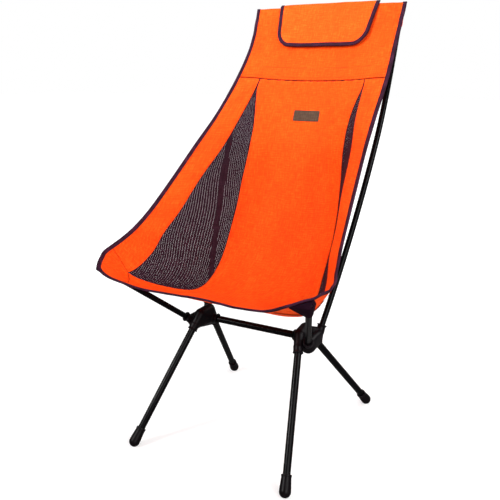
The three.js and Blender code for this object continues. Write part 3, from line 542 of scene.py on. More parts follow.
def anodised_material(name, deep, plain):
    """Black anodised aluminium: drawn lines along the tube, faint handling marks and a soft gloss."""
    material, tree, shader = new_material(name)
    lines = noise(tree, coordinates(tree, "weave", (2600, 14, 1)), 1.0, 2.0)
    marks = noise(tree, coordinates(tree, "object", (38, 38, 38)), 1.0, 5.0, 0.65, 0.8)
    colour = ramp(tree, marks, [(0.3, srgb(deep)), (0.72, srgb(plain))])
    tree.links.new(colour, shader.inputs["Base Color"])
    rough = math_node(tree, "ADD", math_node(tree, "MULTIPLY", marks, 0.16), math_node(tree, "MULTIPLY", lines, 0.1))
    tree.links.new(math_node(tree, "ADD", rough, 0.1), shader.inputs["Roughness"])
    tree.links.new(bump(tree, lines, 0.06, 0.0002), shader.inputs["Normal"])
    shader.inputs["Specular IOR Level"].default_value = 0.1
    return material


def moulded_material(name, deep, plain, pale_edge_colour):
    """Moulded nylon: a fine satin texture, and convex edges painted a little paler."""
    material, tree, shader = new_material(name)
    grain = noise(tree, coordinates(tree, "object", (1500, 1500, 1500)), 1.0, 2.0)
    patches = noise(tree, coordinates(tree, "object", (45, 45, 45)), 1.0, 4.0)
    colour = ramp(tree, patches, [(0.3, srgb(deep)), (0.7, srgb(plain))])
    # Convex edges, found by pointiness, are painted a little paler.
    edges = node(tree, "ShaderNodeNewGeometry").outputs["Pointiness"]
    pale_edge_mask = ramp(tree, edges, [(0.53, (0, 0, 0, 1)), (0.6, (1, 1, 1, 1))])
    amount = math_node(tree, "MULTIPLY", math_node(tree, "MULTIPLY", pale_edge_mask, patches), 0.7)
    tree.links.new(mix_colour(tree, colour, srgb(pale_edge_colour), amount), shader.inputs["Base Color"])
    tree.links.new(math_node(tree, "ADD", math_node(tree, "MULTIPLY", patches, 0.16), 0.3), shader.inputs["Roughness"])
    tree.links.new(bump(tree, grain, 0.18, 0.0002), shader.inputs["Normal"])
    shader.inputs["Specular IOR Level"].default_value = 0.12
    return material


ORANGE = cloth_material("fabric_orange", "#F43804", "#FF4C09", "#FF641A", sheen=0.1)
# The flap is the same orange cloth painted a little paler: painted light for the flap, which faces the lamps more.
FLAP_ORANGE_PAINTED_LIGHT = cloth_material("fabric_orange_flap_painted_light", "#F63E06", "#FF500D", "#FF6A20", sheen=0.1)
NET = cloth_material("net_strands", "#1E0F18", "#2A1823", "#3E2A37", pitch=0.0006, roughness=0.7, sheen=0.0, gloss=0.05)
TAPE = tape_material("binding_tape", "#1E0716", "#300F25", "#461C36")
SEAM_TAPE = tape_material("seam_tape", "#1C0814", "#2A0E20", "#3A1A2E")
# A darker copy of the orange cloth, laid under the patch seams' gaps: painted shade for the seams.
PATCH_GAP_SHADE = tape_material("patch_seam_painted_shade", "#8A2004", "#A02A06", "#B8380C")
WEBBING = cloth_material("pocket_cloth", "#140610", "#200C1A", "#301828", pitch=0.0012, roughness=0.8, sheen=0.0, gloss=0.03)
LABEL = cloth_material("label_patch_cloth", "#38261C", "#4E3A2E", "#62503F", pitch=0.0007, roughness=0.6, sheen=0.03)
TUBE = anodised_material("anodised_tube", "#030203", "#080608")
NYLON = moulded_material("moulded_nylon", "#080406", "#100A0F", "#2C222C")
THREAD_ORANGE = cloth_material("thread_orange", "#7A2004", "#922C08", "#AA3A10", pitch=0.0004, roughness=0.6)
THREAD_DARK = cloth_material("thread_dark", "#1A0814", "#281022", "#3A2032", pitch=0.0004, roughness=0.6)

# Fabric panels

SEAM_GAP = 0.0010
# The cross seam's gap is widened so that the dark tape under it shows as a dark line: painted shade for the shadow of
# the top panel's folded edge.
CROSS_GAP = 0.0026  # the cross seam shows as a dark line
EDGE_STEPS = np.array([0, 0.4, 1.0, 2.2, 4.0, 6.2, 8.0, 8.8, 9.4, 10.2, 12.0]) * MM
FLAT = FABRIC_THICKNESS / 2
THIN = 0.0002
LIFT_DEPTH = 9.1 * MM


def spaced(length, step):
    """Distances over a length, close together at both ends."""
    inner = np.linspace(EDGE_STEPS[-1], length - EDGE_STEPS[-1], max(2, int(round((length - 2 * EDGE_STEPS[-1]) / step))))
    return np.concatenate([EDGE_STEPS[:-1], inner, length - EDGE_STEPS[:-1][::-1]])


def allowance(distance):
    """The extra height over a seam's folded edge, which ends in a small step."""
    step = np.clip((LIFT_DEPTH - distance) / (0.7 * MM), 0, 1)
    return 0.00022 * step * step * (3 - 2 * step)


def pucker(distance, run):
    """Small gathers that the stitches pull into the cloth beside a seam."""
    return 0.00016 * np.exp(-distance / (7 * MM)) * np.sin(run * 2 * math.pi / 0.0105 + 1.7 * np.sin(run * 37))


def gather(distance, run):
    """Wider gathers below the cross seam, where the centre panel is eased into it."""
    wave = np.sin(run * 2 * math.pi / 0.023 + 1.9 * np.sin(run * 21)) + 0.5 * np.sin(run * 2 * math.pi / 0.0141)
    return 0.0011 * np.exp(-(distance / (15 * MM)) ** 1.5) * wave


def rounding(distance):
    """How far a cut edge is rounded off."""
    inside = np.clip(distance / (0.5 * MM), 0, 1)
    return FLAT * 0.45 * (1 - np.sqrt(1 - (1 - inside) ** 2))


def panel(name, u, v, edge_distance, run, material, extra=0.0):
    """One sewn panel: a thin closed sheet with folded edges along its seams."""
    soft = relief(u, v).reshape(u.shape) + extra
    lift = allowance(edge_distance) + pucker(edge_distance, run)
    ease = rounding(edge_distance)
    over = FLAT - THIN + lift - ease + soft
    under = -FLAT + THIN - 0.6 * lift + ease + soft
    return sheet_between(name, u, v, over, under, material)


def grid_of(rows_v, half_left, half_right, step):
    """A grid whose rows run between two lines of u, with columns close together at the sides."""
    widths = (half_right - half_left) * half_width(rows_v)
    count = int(np.max(widths) / step)
    grid_u, grid_d = [], []
    for left, right, v, width in zip(half_left, half_right, rows_v, widths):
        edge = EDGE_STEPS[:-1] * min(1, width / (3 * EDGE_STEPS[-1]))
        inner = np.linspace(EDGE_STEPS[-1] * min(1, width / (3 * EDGE_STEPS[-1])),
                            width - EDGE_STEPS[-1] * min(1, width / (3 * EDGE_STEPS[-1])), max(count, 4))
        across = np.concatenate([edge, inner, width - edge[::-1]])
        grid_u.append(left + (right - left) * across / width)
        grid_d.append(np.minimum(across, width - across))
    u = np.array(grid_u)
    return u, np.repeat(np.asarray(rows_v)[:, None], u.shape[1], axis=1), np.array(grid_d)


def rows_between(first, last, step=4.5 * MM, extra=()):
    length = run_down(last) - run_down(first)
    runs = run_down(first) + spaced(length, step)
    rows = np.interp(runs, LENGTH_RUN, LENGTH_V)
    return np.unique(np.concatenate([rows, np.asarray(extra, float)]))


half_gap = SEAM_GAP / 2
seam_v = lambda d: down_share(0, CROSS_SEAM, d)[0]

# The top panel, over the cross seam
rows = rows_between(0.0, CROSS_SEAM - seam_v(CROSS_GAP / 2))
u, v, side = grid_of(rows, -np.ones(len(rows)), np.ones(len(rows)), 5 * MM)
foot = (CROSS_SEAM - v) / seam_v(1.0)
top_panel = panel("top_panel_cloth", u, v, np.minimum(foot, 1), u * half_width(v.ravel()).reshape(u.shape), ORANGE)


def seam_gap_share(seam, v):
    """The step in u that keeps half a seam gap, whatever the seam's slant."""
    slant = (along(seam, v + 0.002) - along(seam, v - 0.002)) / 0.004
    _, across, down, _ = fabric_frame(along(seam, v), v)
    wide, tall = np.linalg.norm(across, axis=1), np.linalg.norm(down, axis=1)
    return half_gap / wide * np.hypot(1, slant * wide / tall)


# The centre panel: the middle of the back and the seat, out to the corner patches in front
rows = rows_between(CROSS_SEAM + seam_v(CROSS_GAP / 2), 1.0, extra=np.linspace(0.843, 0.9, 26))
half = np.where(rows <= MESH_TIP, along(INNER_SEAM, rows) - seam_gap_share(INNER_SEAM, rows),
                along(PATCH_SEAM, rows) - seam_gap_share(PATCH_SEAM, rows))
u, v, side = grid_of(rows, -half, half, 6.5 * MM)
top = (v - CROSS_SEAM) / seam_v(1.0)
run = np.where(top < side, u * half_width(v.ravel()).reshape(u.shape), run_down(v))
gathers = gather(top, u * half_width(v.ravel()).reshape(u.shape)) * np.clip(side / (12 * MM), 0, 1)
centre_panel = panel("centre_panel_cloth", u, v, np.minimum(side, top), run, ORANGE, gathers)

# A side band, between its mesh panel and the fabric's edge
rows = rows_between(CROSS_SEAM + seam_v(CROSS_GAP / 2), MESH_TIP)
inner = along(OUTER_SEAM, rows) + seam_gap_share(OUTER_SEAM, rows)
u, v, side = grid_of(rows, inner, np.ones(len(rows)), 4 * MM)
share = (u - u[:, :1]) / (u[:, -1:] - u[:, :1])
past = np.clip((v - MESH_FOOT) / (MESH_TIP - MESH_FOOT), 0, 1)
diagonal = MESH_TIP + (PATCH_SIDE - MESH_TIP) * share - down_share(1, PATCH_SIDE, half_gap)[0]
v = np.minimum(v, MESH_FOOT) + (diagonal - np.minimum(v, MESH_FOOT)) * past ** 2
inner = along(OUTER_SEAM, v) + seam_gap_share(OUTER_SEAM, v.ravel()).reshape(v.shape)
u = inner + (1 - inner) * share
inner_side = (u - inner) * half_width(v.ravel()).reshape(u.shape)
top = (v - CROSS_SEAM) / seam_v(1.0)
low = (diagonal - v) / down_share(1, 0.86, 1.0)[0]
distance = np.minimum(np.minimum(inner_side, top), np.maximum(low, 0))
run = np.where(top < inner_side, u * half_width(v.ravel()).reshape(u.shape), run_down(v))
side_band_right = panel("side_band_cloth_right", u, v, distance, run, ORANGE)

# A corner patch: the diagonal seam behind, the fabric's rounded corner in front


def front_edge(u):
    beyond = np.clip(np.abs(u) - (1 - CORNER_SHARE), 0, None) / CORNER_SHARE
    return 1 - CORNER_SHARE * (1 - np.sqrt(np.clip(1 - beyond ** 2, 0, None)))


share = np.concatenate([np.linspace(0, 0.62, 26), 0.62 + 0.38 * np.sin(np.linspace(0, math.pi / 2, 30))[1:]])
levels = np.linspace(0, 1, 34)
share, level = np.meshgrid(share, levels)
row_v = MESH_TIP + level * (1 - MESH_TIP)
top = MESH_TIP + (PATCH_SIDE - MESH_TIP) * share + down_share(1, PATCH_SIDE, half_gap)[0]
seam_u = along(PATCH_SEAM, row_v) + seam_gap_share(PATCH_SEAM, row_v.ravel()).reshape(row_v.shape)
u = seam_u + (1 - seam_u) * share
low = front_edge(u)
v = top + (low - top) * level
patch_scale = half_width(v.ravel()).reshape(u.shape)
distance = np.minimum((u - seam_u) * patch_scale, (v - top) / down_share(1, 0.9, 1.0)[0])
corner_patch_right = panel("corner_patch_cloth_right", u, v, np.maximum(distance, 0), run_down(v), ORANGE)

# The see-through net of a side panel: thin flat strands with a real hole in every cell, sewn under its neighbours

NET_PITCH = 2.5 * MM
NET_HOLE = 0.19  # share of a cell's side that the hole takes
NET_HALF = 0.1 * MM
NET_TUCK = 2.2 * MM
LAYER_GAP = 0.08 * MM
NET_LEVEL = -(FLAT + LAYER_GAP + NET_HALF)


def cells_inside(across_at, row_at, inner, outer):
    """Which cells of the grid lie between the two seams, or tucked under the cloth beside them."""
    low = np.interp(row_at, *inner) - NET_TUCK
    high = np.interp(row_at, *outer) + NET_TUCK
    middle = across_at[:-1] + np.diff(across_at) / 2
    row_low, row_high = low[:-1] / 2 + low[1:] / 2, high[:-1] / 2 + high[1:] / 2
    return (middle[None, :] > row_low[:, None]) & (middle[None, :] < row_high[:, None])


def net_panel(name):
    first, last = MESH_TOP - down_share(0, MESH_TOP, 12 * MM)[0], MESH_TIP
    length = run_down(last) - run_down(first)
    runs = np.linspace(run_down(first), run_down(last), int(length / NET_PITCH))
    rows = np.interp(runs, LENGTH_RUN, LENGTH_V)
    inner = along(INNER_SEAM, rows) * half_width(rows)
    outer = along(OUTER_SEAM, rows) * half_width(rows)
    across_at = np.arange(inner.min() - NET_TUCK, outer.max() + NET_TUCK, NET_PITCH)
    keep = cells_inside(across_at, rows, (rows, inner), (rows, outer))
    u = across_at[None, :] / half_width(rows)[:, None]
    v = np.repeat(rows[:, None], len(across_at), axis=1)
    n_rows, n_cols = u.shape

    def cell_corners(grid):
        return np.array([grid[:-1, :-1][keep], grid[1:, :-1][keep], grid[1:, 1:][keep], grid[:-1, 1:][keep]])

    cu, cv = cell_corners(u), cell_corners(v)
    hu = cu.mean(axis=0) + (cu - cu.mean(axis=0)) * NET_HOLE
    hv = cv.mean(axis=0) + (cv - cv.mean(axis=0)) * NET_HOLE
    lift = np.where(np.add.outer(np.arange(n_rows), np.arange(n_cols)) % 2 == 0, 1, -1) * 0.05 * MM
    points, uvs = [], []
    for place_u, place_v, rise in ((u.ravel(), v.ravel(), lift.ravel()), (hu.ravel(), hv.ravel(), 0)):
        point, _, _, normal = fabric_frame(place_u, place_v)
        level = NET_LEVEL + relief(place_u, place_v) + rise
        for side in (1, -1):
            points.append(point + normal * (level + side * NET_HALF)[:, None])
            uvs.append(np.stack([place_u * half_width(place_v), run_down(place_v)], axis=1))
    base, cells = n_rows * n_cols, cu.shape[1]
    number = np.arange(base).reshape(n_rows, n_cols)
    corner = cell_corners(number)
    hole = 2 * base + np.arange(4 * cells).reshape(4, cells)
    faces = []
    for k in range(4):
        n = (k + 1) % 4
        faces.append(np.stack([corner[k], corner[n], hole[n], hole[k]], axis=1))
        faces.append(np.stack([corner[n] + base, corner[k] + base, hole[k] + 4 * cells, hole[n] + 4 * cells], axis=1))
        faces.append(np.stack([hole[k], hole[n], hole[n] + 4 * cells, hole[k] + 4 * cells], axis=1))
    faces.append(border_faces(corner, base))
    faces = np.concatenate(faces)
    used, faces = np.unique(faces, return_inverse=True)
    return add_mesh(name, np.concatenate(points)[used], faces.reshape(-1, 4), NET, np.concatenate(uvs)[used], 60)


def border_faces(corner, base):
    """The rim of the kept cells: every side that belongs to one cell only."""
    sides = np.concatenate([np.stack([corner[k], corner[(k + 1) % 4]], axis=1) for k in range(4)])
    _, first, count = np.unique(np.sort(sides, axis=1), axis=0, return_index=True, return_counts=True)
    a, b = sides[first[count == 1]].T
    return np.stack([b, a, a + base, b + base], axis=1)


side_mesh_right = net_panel("side_net_right")

# Seam tapes: a thin dark tape sewn behind each seam, every kind on its own level. At the cross seam and the patch seams
# the tape shows in a gap between the panels as a darker line: painted shade for the seam.

SEAM_TAPE_HALF = 0.15 * MM
SEAM_TAPE_UNDER = 7 * MM
SEAM_TAPE_SHOWN = 1.3 * MM


def seam_strip(name, u, v, left, right, layer, material=SEAM_TAPE):
    """A tape along a line on the cloth, from left to right of it, on a level behind the net."""
    point, across, down, _ = fabric_frame(u, v)
    wide, tall = np.linalg.norm(across, axis=1), np.linalg.norm(down, axis=1)
    way = np.stack([np.gradient(u) * wide, np.gradient(v) * tall], axis=1)
    way /= np.linalg.norm(way, axis=1)[:, None]
    offsets = np.linspace(left, right, 5)
    grid_u = u[:, None] + (way[:, 1] / wide)[:, None] * offsets[None, :]
    grid_v = v[:, None] - (way[:, 0] / tall)[:, None] * offsets[None, :]
    level = NET_LEVEL - NET_HALF - 0.1 * MM - SEAM_TAPE_HALF - layer * (2 * SEAM_TAPE_HALF + LAYER_GAP)
    level = level + relief(grid_u, grid_v).reshape(grid_u.shape)
    return sheet_between(name, grid_u, grid_v, level + SEAM_TAPE_HALF, level - SEAM_TAPE_HALF, material)


def seam_line(seam, first, last, count=180):
    v = np.linspace(first, last, count)
    return along(seam, v), v


NET_CORNER = PATCH_SEAM[0, 1]
diagonal_share = np.linspace(0, 0.96, 40)
diagonal_u = NET_CORNER + (1 - NET_CORNER) * diagonal_share
diagonal_v = MESH_TIP + (PATCH_SIDE - MESH_TIP) * diagonal_share
half_tape = SEAM_TAPE_UNDER / 2
right_strips = [
    seam_strip("seam_tape_inner_right", *seam_line(INNER_SEAM, CROSS_SEAM, MESH_TIP),
               -SEAM_TAPE_UNDER, SEAM_TAPE_SHOWN, 0),
    seam_strip("seam_tape_outer_right", *seam_line(OUTER_SEAM, CROSS_SEAM, MESH_TIP),
               -SEAM_TAPE_SHOWN, SEAM_TAPE_UNDER, 1),
    # The patch and diagonal seams show this darker orange in their gaps: painted shade.
    seam_strip("seam_tape_patch_right", *seam_line(PATCH_SEAM, MESH_TIP, 0.985, 40),
               -half_tape, half_tape, 2, PATCH_GAP_SHADE),
    seam_strip("seam_tape_diagonal_right", diagonal_u, diagonal_v, -half_tape, half_tape, 3, PATCH_GAP_SHADE),
]
# The cross seam's dark tape fills the widened gap: painted shade for the shadow under the top panel's folded edge.
cross_line = np.linspace(-0.965, 0.965, 161)
cross_seam_shade_strip = seam_strip("seam_shade_cross", cross_line, np.full(161, CROSS_SEAM), -half_tape, half_tape, 4)

# Binding tape: a folded tape that wraps the fabric's edge, from one top corner round to the other

TAPE_GAP = FIT_GAP
TAPE_OUT = FLAT + TAPE_GAP + BINDING_THICKNESS
TAPE_IN = FLAT + TAPE_GAP


def tape_section():
    """Half-round fold outside, two flat flanks, and the slot that takes the fabric."""
    nose = [(TAPE_GAP + 0.0009 * math.cos(a), TAPE_OUT * math.sin(a)) for a in np.linspace(math.pi / 2, -math.pi / 2, 9)]
    flank = BINDING_WIDTH
    over = [(-flank, TAPE_IN + 0.15 * MM), (-flank, TAPE_OUT - 0.25 * MM), (-flank + 0.4 * MM, TAPE_OUT), (-flank + 1.6 * MM, TAPE_OUT - 0.12 * MM),
            (-flank + 2.8 * MM, TAPE_OUT + 0.02 * MM)]
    outer = over + nose + [(a, -b) for a, b in reversed(over)]
    inner = [(-flank * 0.5, -TAPE_IN), (0.1 * MM, -TAPE_IN), (0.1 * MM, TAPE_IN), (-flank * 0.5, TAPE_IN)]
    return np.array(outer + inner)[::-1]


def tape_along(name, u, v, lift, material):
    point, _, _, normal = fabric_frame(u, v)
    point = point + normal * (lift + relief(u, v))[:, None]
    run = unit(np.gradient(point, axis=0))
    out = unit(np.cross(run, normal))
    return sweep(name, point, normal, out, tape_section(), material), point, normal, out


def even_places(u, v, step):
    """The same line with its points an even distance apart."""
    point = fabric(u, v)
    run = np.concatenate([[0], np.cumsum(np.linalg.norm(np.diff(point, axis=0), axis=1))])
    s = np.linspace(0, run[-1], int(run[-1] / step))
    return np.interp(s, run, u), np.interp(s, run, v)


side_v = np.linspace(0, 1 - CORNER_SHARE, 200)
arc = np.linspace(0, math.pi / 2, 40)[1:]
edge_u = np.concatenate([np.ones(200), 1 - CORNER_SHARE + CORNER_SHARE * np.cos(arc), np.linspace(1 - CORNER_SHARE, 0, 120)[1:]])
edge_v = np.concatenate([side_v, 1 - CORNER_SHARE + CORNER_SHARE * np.sin(arc), np.ones(119)])
edge_u = np.concatenate([-edge_u, edge_u[::-1][1:]])
edge_v = np.concatenate([edge_v, edge_v[::-1][1:]])
edge_u, edge_v = even_places(edge_u, edge_v, 2.6 * MM)
edge_tape, tape_point, tape_normal, tape_out = tape_along("edge_tape", edge_u, edge_v, 0, TAPE)

# The headrest flap, folded over the top edge

FLAP_LENGTH = 0.12
FLAP_HEM = 0.007
FLAP_LIFT = 0.0095
FLAP_TOP_SHARE = 0.66
FLAP_BOTTOM_SHARE = 0.6
FLAP_ROUNDING = 0.36
FLAP_CORNER_SHARE = 0.17
FLAP_SPAN = down_share(0, 0, FLAP_LENGTH - FLAP_HEM)[0]
FLAP_START = FABRIC_THICKNESS + BINDING_THICKNESS + 3 * FIT_GAP


def flap_half(t):
    t = np.clip(t, 0, 1)
    past = np.clip(t - (1 - FLAP_ROUNDING), 0, None) / FLAP_ROUNDING
    return FLAP_TOP_SHARE + (FLAP_BOTTOM_SHARE - FLAP_TOP_SHARE) * t - FLAP_CORNER_SHARE * (1 - np.sqrt(np.clip(1 - past ** 2, 0, None)))


def flap_lift(t):
    rise = FLAP_START + (FLAP_LIFT - FLAP_START) * np.clip(t, 0, 1) * (2 - np.clip(t, 0, 1))
    return np.where(t < 0, (1 + t) * FLAP_START, rise)


def flap_v(t):
    return np.where(t < 0, t * down_share(0, 0, FLAP_HEM)[0], t * FLAP_SPAN)


def flap_relief(share, t):
    wave = 0.0007 * np.sin(share * 5.2 + 0.7) * np.clip(t, 0, 1) ** 2
    return wave + 0.0004 * np.sin(share * 11 - 1.3 * t) * np.sin(2.6 * t + 0.4)


t_rows = np.concatenate([np.linspace(-1, 0, 8)[:-1], np.linspace(0, 1 - FLAP_ROUNDING, 18)[:-1],
                         1 - FLAP_ROUNDING * (1 - np.sin(np.linspace(0, math.pi / 2, 22)))])
t, share = np.meshgrid(t_rows, np.linspace(-1, 1, 61), indexing="ij")
u, v = share * flap_half(t), flap_v(t)
lift = flap_lift(t) + flap_relief(share, t) + relief(u, v).reshape(u.shape)
edge = np.minimum((1 - np.abs(share)) * flap_half(t) * 0.2, (1 - t) * 0.1)
ease = rounding(np.maximum(edge, 0))
flap_cloth = sheet_between("flap_cloth", u, v, lift + FLAT - THIN - ease, lift - FLAT + THIN + ease, FLAP_ORANGE_PAINTED_LIGHT)

t_line = t_rows
line_t = np.concatenate([t_line, np.ones(40), t_line[::-1]])
line_share = np.concatenate([-np.ones(len(t_line)), np.linspace(-1, 1, 42)[1:-1], np.ones(len(t_line))])
line_u, line_v = line_share * flap_half(line_t), flap_v(line_t)
point, _, _, normal = fabric_frame(line_u, line_v)
line_lift = flap_lift(line_t) + flap_relief(line_share, line_t) + relief(line_u, line_v)
point = point + normal * line_lift[:, None]
run_s = np.concatenate([[0], np.cumsum(np.linalg.norm(np.diff(point, axis=0), axis=1))])
s_even = np.linspace(0, run_s[-1], int(run_s[-1] / (2.4 * MM)))
pick = lambda a: np.array([np.interp(s_even, run_s, a[:, k]) for k in range(3)]).T
flap_point, flap_normal = pick(point), unit(pick(normal))
flap_run = unit(np.gradient(flap_point, axis=0))
flap_out = unit(np.cross(flap_run, flap_normal))
flap_tape = sweep("flap_tape", flap_point, flap_normal, flap_out, tape_section(), TAPE)

# Label patch: left blank, with a sewn border

LABEL_V = 0.3
LABEL_WIDTH, LABEL_HEIGHT, LABEL_THICKNESS = 0.068, 0.027, 0.0008
label_half = across_share(LABEL_V, LABEL_WIDTH / 2)[0]
label_rise = down_share(0, LABEL_V, LABEL_HEIGHT / 2)[0]
x = np.linspace(-1, 1, 69)
y = np.linspace(-1, 1, 25)
gx, gy = np.meshgrid(x, y)
corner = np.clip((np.abs(gx) * LABEL_WIDTH / 2 - (LABEL_WIDTH / 2 - 1.5 * MM)) / (1.5 * MM), 0, 1)
pull = 1 - (1 - np.sqrt(np.clip(1 - corner ** 2, 0, 1))) * 1.5 * MM / (LABEL_HEIGHT / 2)
lift = FLAT + FIT_GAP + LABEL_THICKNESS
rim = np.minimum(LABEL_WIDTH / 2 * (1 - np.abs(gx)), LABEL_HEIGHT / 2 * (1 - np.abs(gy)))
crown = 0.00012 * np.clip(rim / (3 * MM), 0, 1) - 0.00016 * np.exp(-((rim - 1.7 * MM) / (0.35 * MM)) ** 2)
u, v = gx * label_half, LABEL_V + gy * pull * label_rise
base = relief(u, v).reshape(u.shape) + lift
label = sheet_between("label_blank", u, v, base + LABEL_THICKNESS / 2 + crown, base - LABEL_THICKNESS / 2, LABEL)

# Stitching: short raised threads in rows beside the seams


def stitches(name, rows_of, material, pitch=3.1 * MM, length=2.3 * MM, radius=0.22 * MM, height=0.12 * MM):
    """Threads along lines of (points, normals): each one arches over the cloth and dips at its ends."""
    angle = np.linspace(0, 2 * math.pi, 6, endpoint=False)
    profile = np.array([[-0.5, -0.7, 0.5], [-0.38, 0.3, 0.9], [0, 0.75, 1.0], [0.38, 0.3, 0.9], [0.5, -0.7, 0.5]])
    points, faces, count = [], [], 0
    for line, up in rows_of:
        run = np.concatenate([[0], np.cumsum(np.linalg.norm(np.diff(line, axis=0), axis=1))])
        places = np.arange(pitch / 2, run[-1] - pitch / 2, pitch)
        if len(places) == 0:
            continue
        get = lambda a, s: np.array([np.interp(s, run, a[:, k]) for k in range(3)]).T
        centre, normal = get(line, places), unit(get(up, places))
        way = unit(get(line, places + length / 2) - get(line, places - length / 2))
        side = unit(np.cross(way, normal))
        for share, lift, thick in profile:
            ring_centre = centre + way * share * length + normal * (height * (1 + lift))
            ring = (ring_centre[:, None, :] + radius * thick * (side[:, None, :] * np.cos(angle)[None, :, None]
                    + normal[:, None, :] * np.sin(angle)[None, :, None] * 0.75))
            points.append(ring)
        block = np.concatenate([p[:, None] for p in points[-5:]], axis=1)
        del points[-5:]
        total = len(places)
        points.append(block.reshape(-1, 3))
        base = count + np.arange(total)[:, None, None] * 30
        i, k = np.meshgrid(np.arange(4), np.arange(6), indexing="ij")
        quad = np.stack([i * 6 + k, i * 6 + (k + 1) % 6, (i + 1) * 6 + (k + 1) % 6, (i + 1) * 6 + k], axis=2).reshape(-1, 4)
        faces.extend((base + quad[None]).reshape(-1, 4).tolist())
        caps = np.array([[5, 4, 3, 2, 1, 0], [24, 25, 26, 27, 28, 29]])
        faces.extend((base + caps[None]).reshape(-1, 6).tolist())
        count += total * 30
    return add_mesh(name, np.concatenate(points), faces, material, smooth_angle=60)


def sewn(u, v, level=FLAT - THIN):
    """A line on the cloth for a row of stitches."""
    u, v = np.broadcast_arrays(np.asarray(u, float), np.asarray(v, float))
    point, _, _, normal = fabric_frame(u, v)
    return point + normal * (relief(u, v) + level)[:, None], normal


panel_rows = []
wide = np.linspace(-0.97, 0.97, 160)
for offset in (2.2 * MM, 7.6 * MM):
    panel_rows.append(sewn(wide, CROSS_SEAM - seam_v(offset), FLAT))
panel_rows.append(sewn(np.linspace(-0.75, 0.75, 120), np.full(120, 0.166)))
for sign in (-1, 1):
    v_line = np.linspace(0.235, 0.87, 260)
    inset = across_share(v_line, 2.4 * MM)
    panel_rows.append(sewn(sign * (along(INNER_SEAM, v_line) - inset), v_line, FLAT))
    v_line = np.linspace(0.235, 0.88, 260)
    inset = across_share(v_line, 2.4 * MM)
    panel_rows.append(sewn(sign * (along(OUTER_SEAM, v_line) + inset), v_line, FLAT))
    v_line = np.linspace(0.9, 0.985, 60)
    panel_rows.append(sewn(sign * (along(PATCH_SEAM, v_line) + across_share(v_line, 2.4 * MM)), v_line, FLAT))
    s_line = np.linspace(0.03, 0.93, 60)
    u_line = NET_CORNER + (1 - NET_CORNER) * s_line
    panel_rows.append(sewn(sign * u_line, MESH_TIP + (PATCH_SIDE - MESH_TIP) * s_line + down_share(1, PATCH_SIDE, 2.6 * MM)[0], FLAT))
front_u = np.linspace(-0.62, 0.62, 160)
panel_rows.append(sewn(front_u, np.full(160, 1 - down_share(0, 1, 21 * MM)[0])))
panel_stitches = stitches("panel_stitching", panel_rows, THREAD_ORANGE, radius=0.36 * MM)

inner_line = tape_point - tape_out * (BINDING_WIDTH - 1.6 * MM)
tape_stitches = stitches(
    "tape_stitching",
    [(inner_line + tape_normal * (TAPE_OUT - 0.12 * MM), tape_normal),
     (inner_line - tape_normal * (TAPE_OUT - 0.12 * MM), -tape_normal)],
    THREAD_DARK)
flap_inner = flap_point - flap_out * (BINDING_WIDTH - 1.6 * MM)
flap_stitches = stitches(
    "flap_stitching",
    [(flap_inner + flap_normal * (TAPE_OUT - 0.12 * MM), flap_normal),
     (flap_inner - flap_normal * (TAPE_OUT - 0.12 * MM), -flap_normal)],
    THREAD_DARK)

border = []
for sy in (-1, 1):
    border.append((np.linspace(-0.93, 0.93, 60), np.full(60, sy * 0.8)))
for sx in (-1, 1):
    border.append((np.full(16, sx * 0.948), np.linspace(-0.7, 0.7, 16)))
label_rows = [sewn(a * label_half, LABEL_V + b * label_rise, lift + LABEL_THICKNESS / 2 - 0.1 * MM) for a, b in border]
label_stitches = stitches("label_stitching", label_rows, THREAD_DARK, pitch=2.4 * MM, length=1.7 * MM, radius=0.18 * MM)

# Tubes, feet and plugs


def tube(name, path, radius, wall):
    """A drawn tube: a real bore, and ends broken by a small chamfer."""
    path = np.asarray(path, float)
    length = float(np.sum(np.linalg.norm(np.diff(path, axis=0), axis=1)))
    edge = 0.35 * MM
    stations = np.linspace(0, length, max(2, len(path)))
    outer = [(0, radius - edge), (edge, radius)] + [(s, radius) for s in stations[1:-1]] + [(length - edge, radius), (length, radius - edge)]
    inner = [(length, radius - wall)] + [(s, radius - wall) for s in stations[1:-1][::-1]] + [(0, radius - wall)]
    return turn_along(name, path, outer + inner, TUBE, 44)


def line_path(a, b, steps=2):
    return np.asarray(a)[None] + (np.asarray(b) - np.asarray(a))[None] * np.linspace(0, 1, steps)[:, None]


def ball_centre(leg):
    reach = (leg["mouth"][2] - FOOT_BALL_HEIGHT) / -leg["way"][2]
    return leg["mouth"] + leg["way"] * reach


def leg_piece(name, leg):
    start = leg["mouth"] - leg["way"] * leg["insert"]
    end = ball_centre(leg) - leg["way"] * (FOOT_SOCKET_FLOOR + FIT_GAP)
    return tube(name, line_path(start, end), LEG_RADIUS, LEG_WALL)


def foot_piece(name, leg):
    """The moulded foot: a ball on the ground, a waist, and a collar with a lip round the leg."""
    centre, up = ball_centre(leg), -leg["way"]
    r, bore = FOOT_BALL_RADIUS, LEG_RADIUS + FIT_GAP
    ball = [(-r * math.cos(a), r * math.sin(a)) for a in np.linspace(0.0001, math.radians(96), 22)]
    body = [(0.008, 0.01195), (0.014, 0.01135), (0.02, 0.0109), (0.026, 0.0105), (0.0283, 0.0104),
            (0.0289, 0.01085), (0.0296, 0.011), (0.0322, 0.011), (0.0328, 0.0107), (0.033, 0.0102)]
    hollow = [(0.033, 0.0088), (0.0324, bore), (FOOT_SOCKET_FLOOR, bore), (FOOT_SOCKET_FLOOR, 0.0001)]
    obj = turn_along(name, np.array([centre, centre + up * 0.033]), ball + body + hollow, NYLON, 56)
    mesh = obj.data
    co = np.zeros(len(mesh.vertices) * 3)
    mesh.vertices.foreach_get("co", co)
    co = co.reshape(-1, 3)
    co[:, 2] = np.maximum(co[:, 2], 0)
    mesh.vertices.foreach_set("co", co.ravel())
    mesh.update()
    return obj


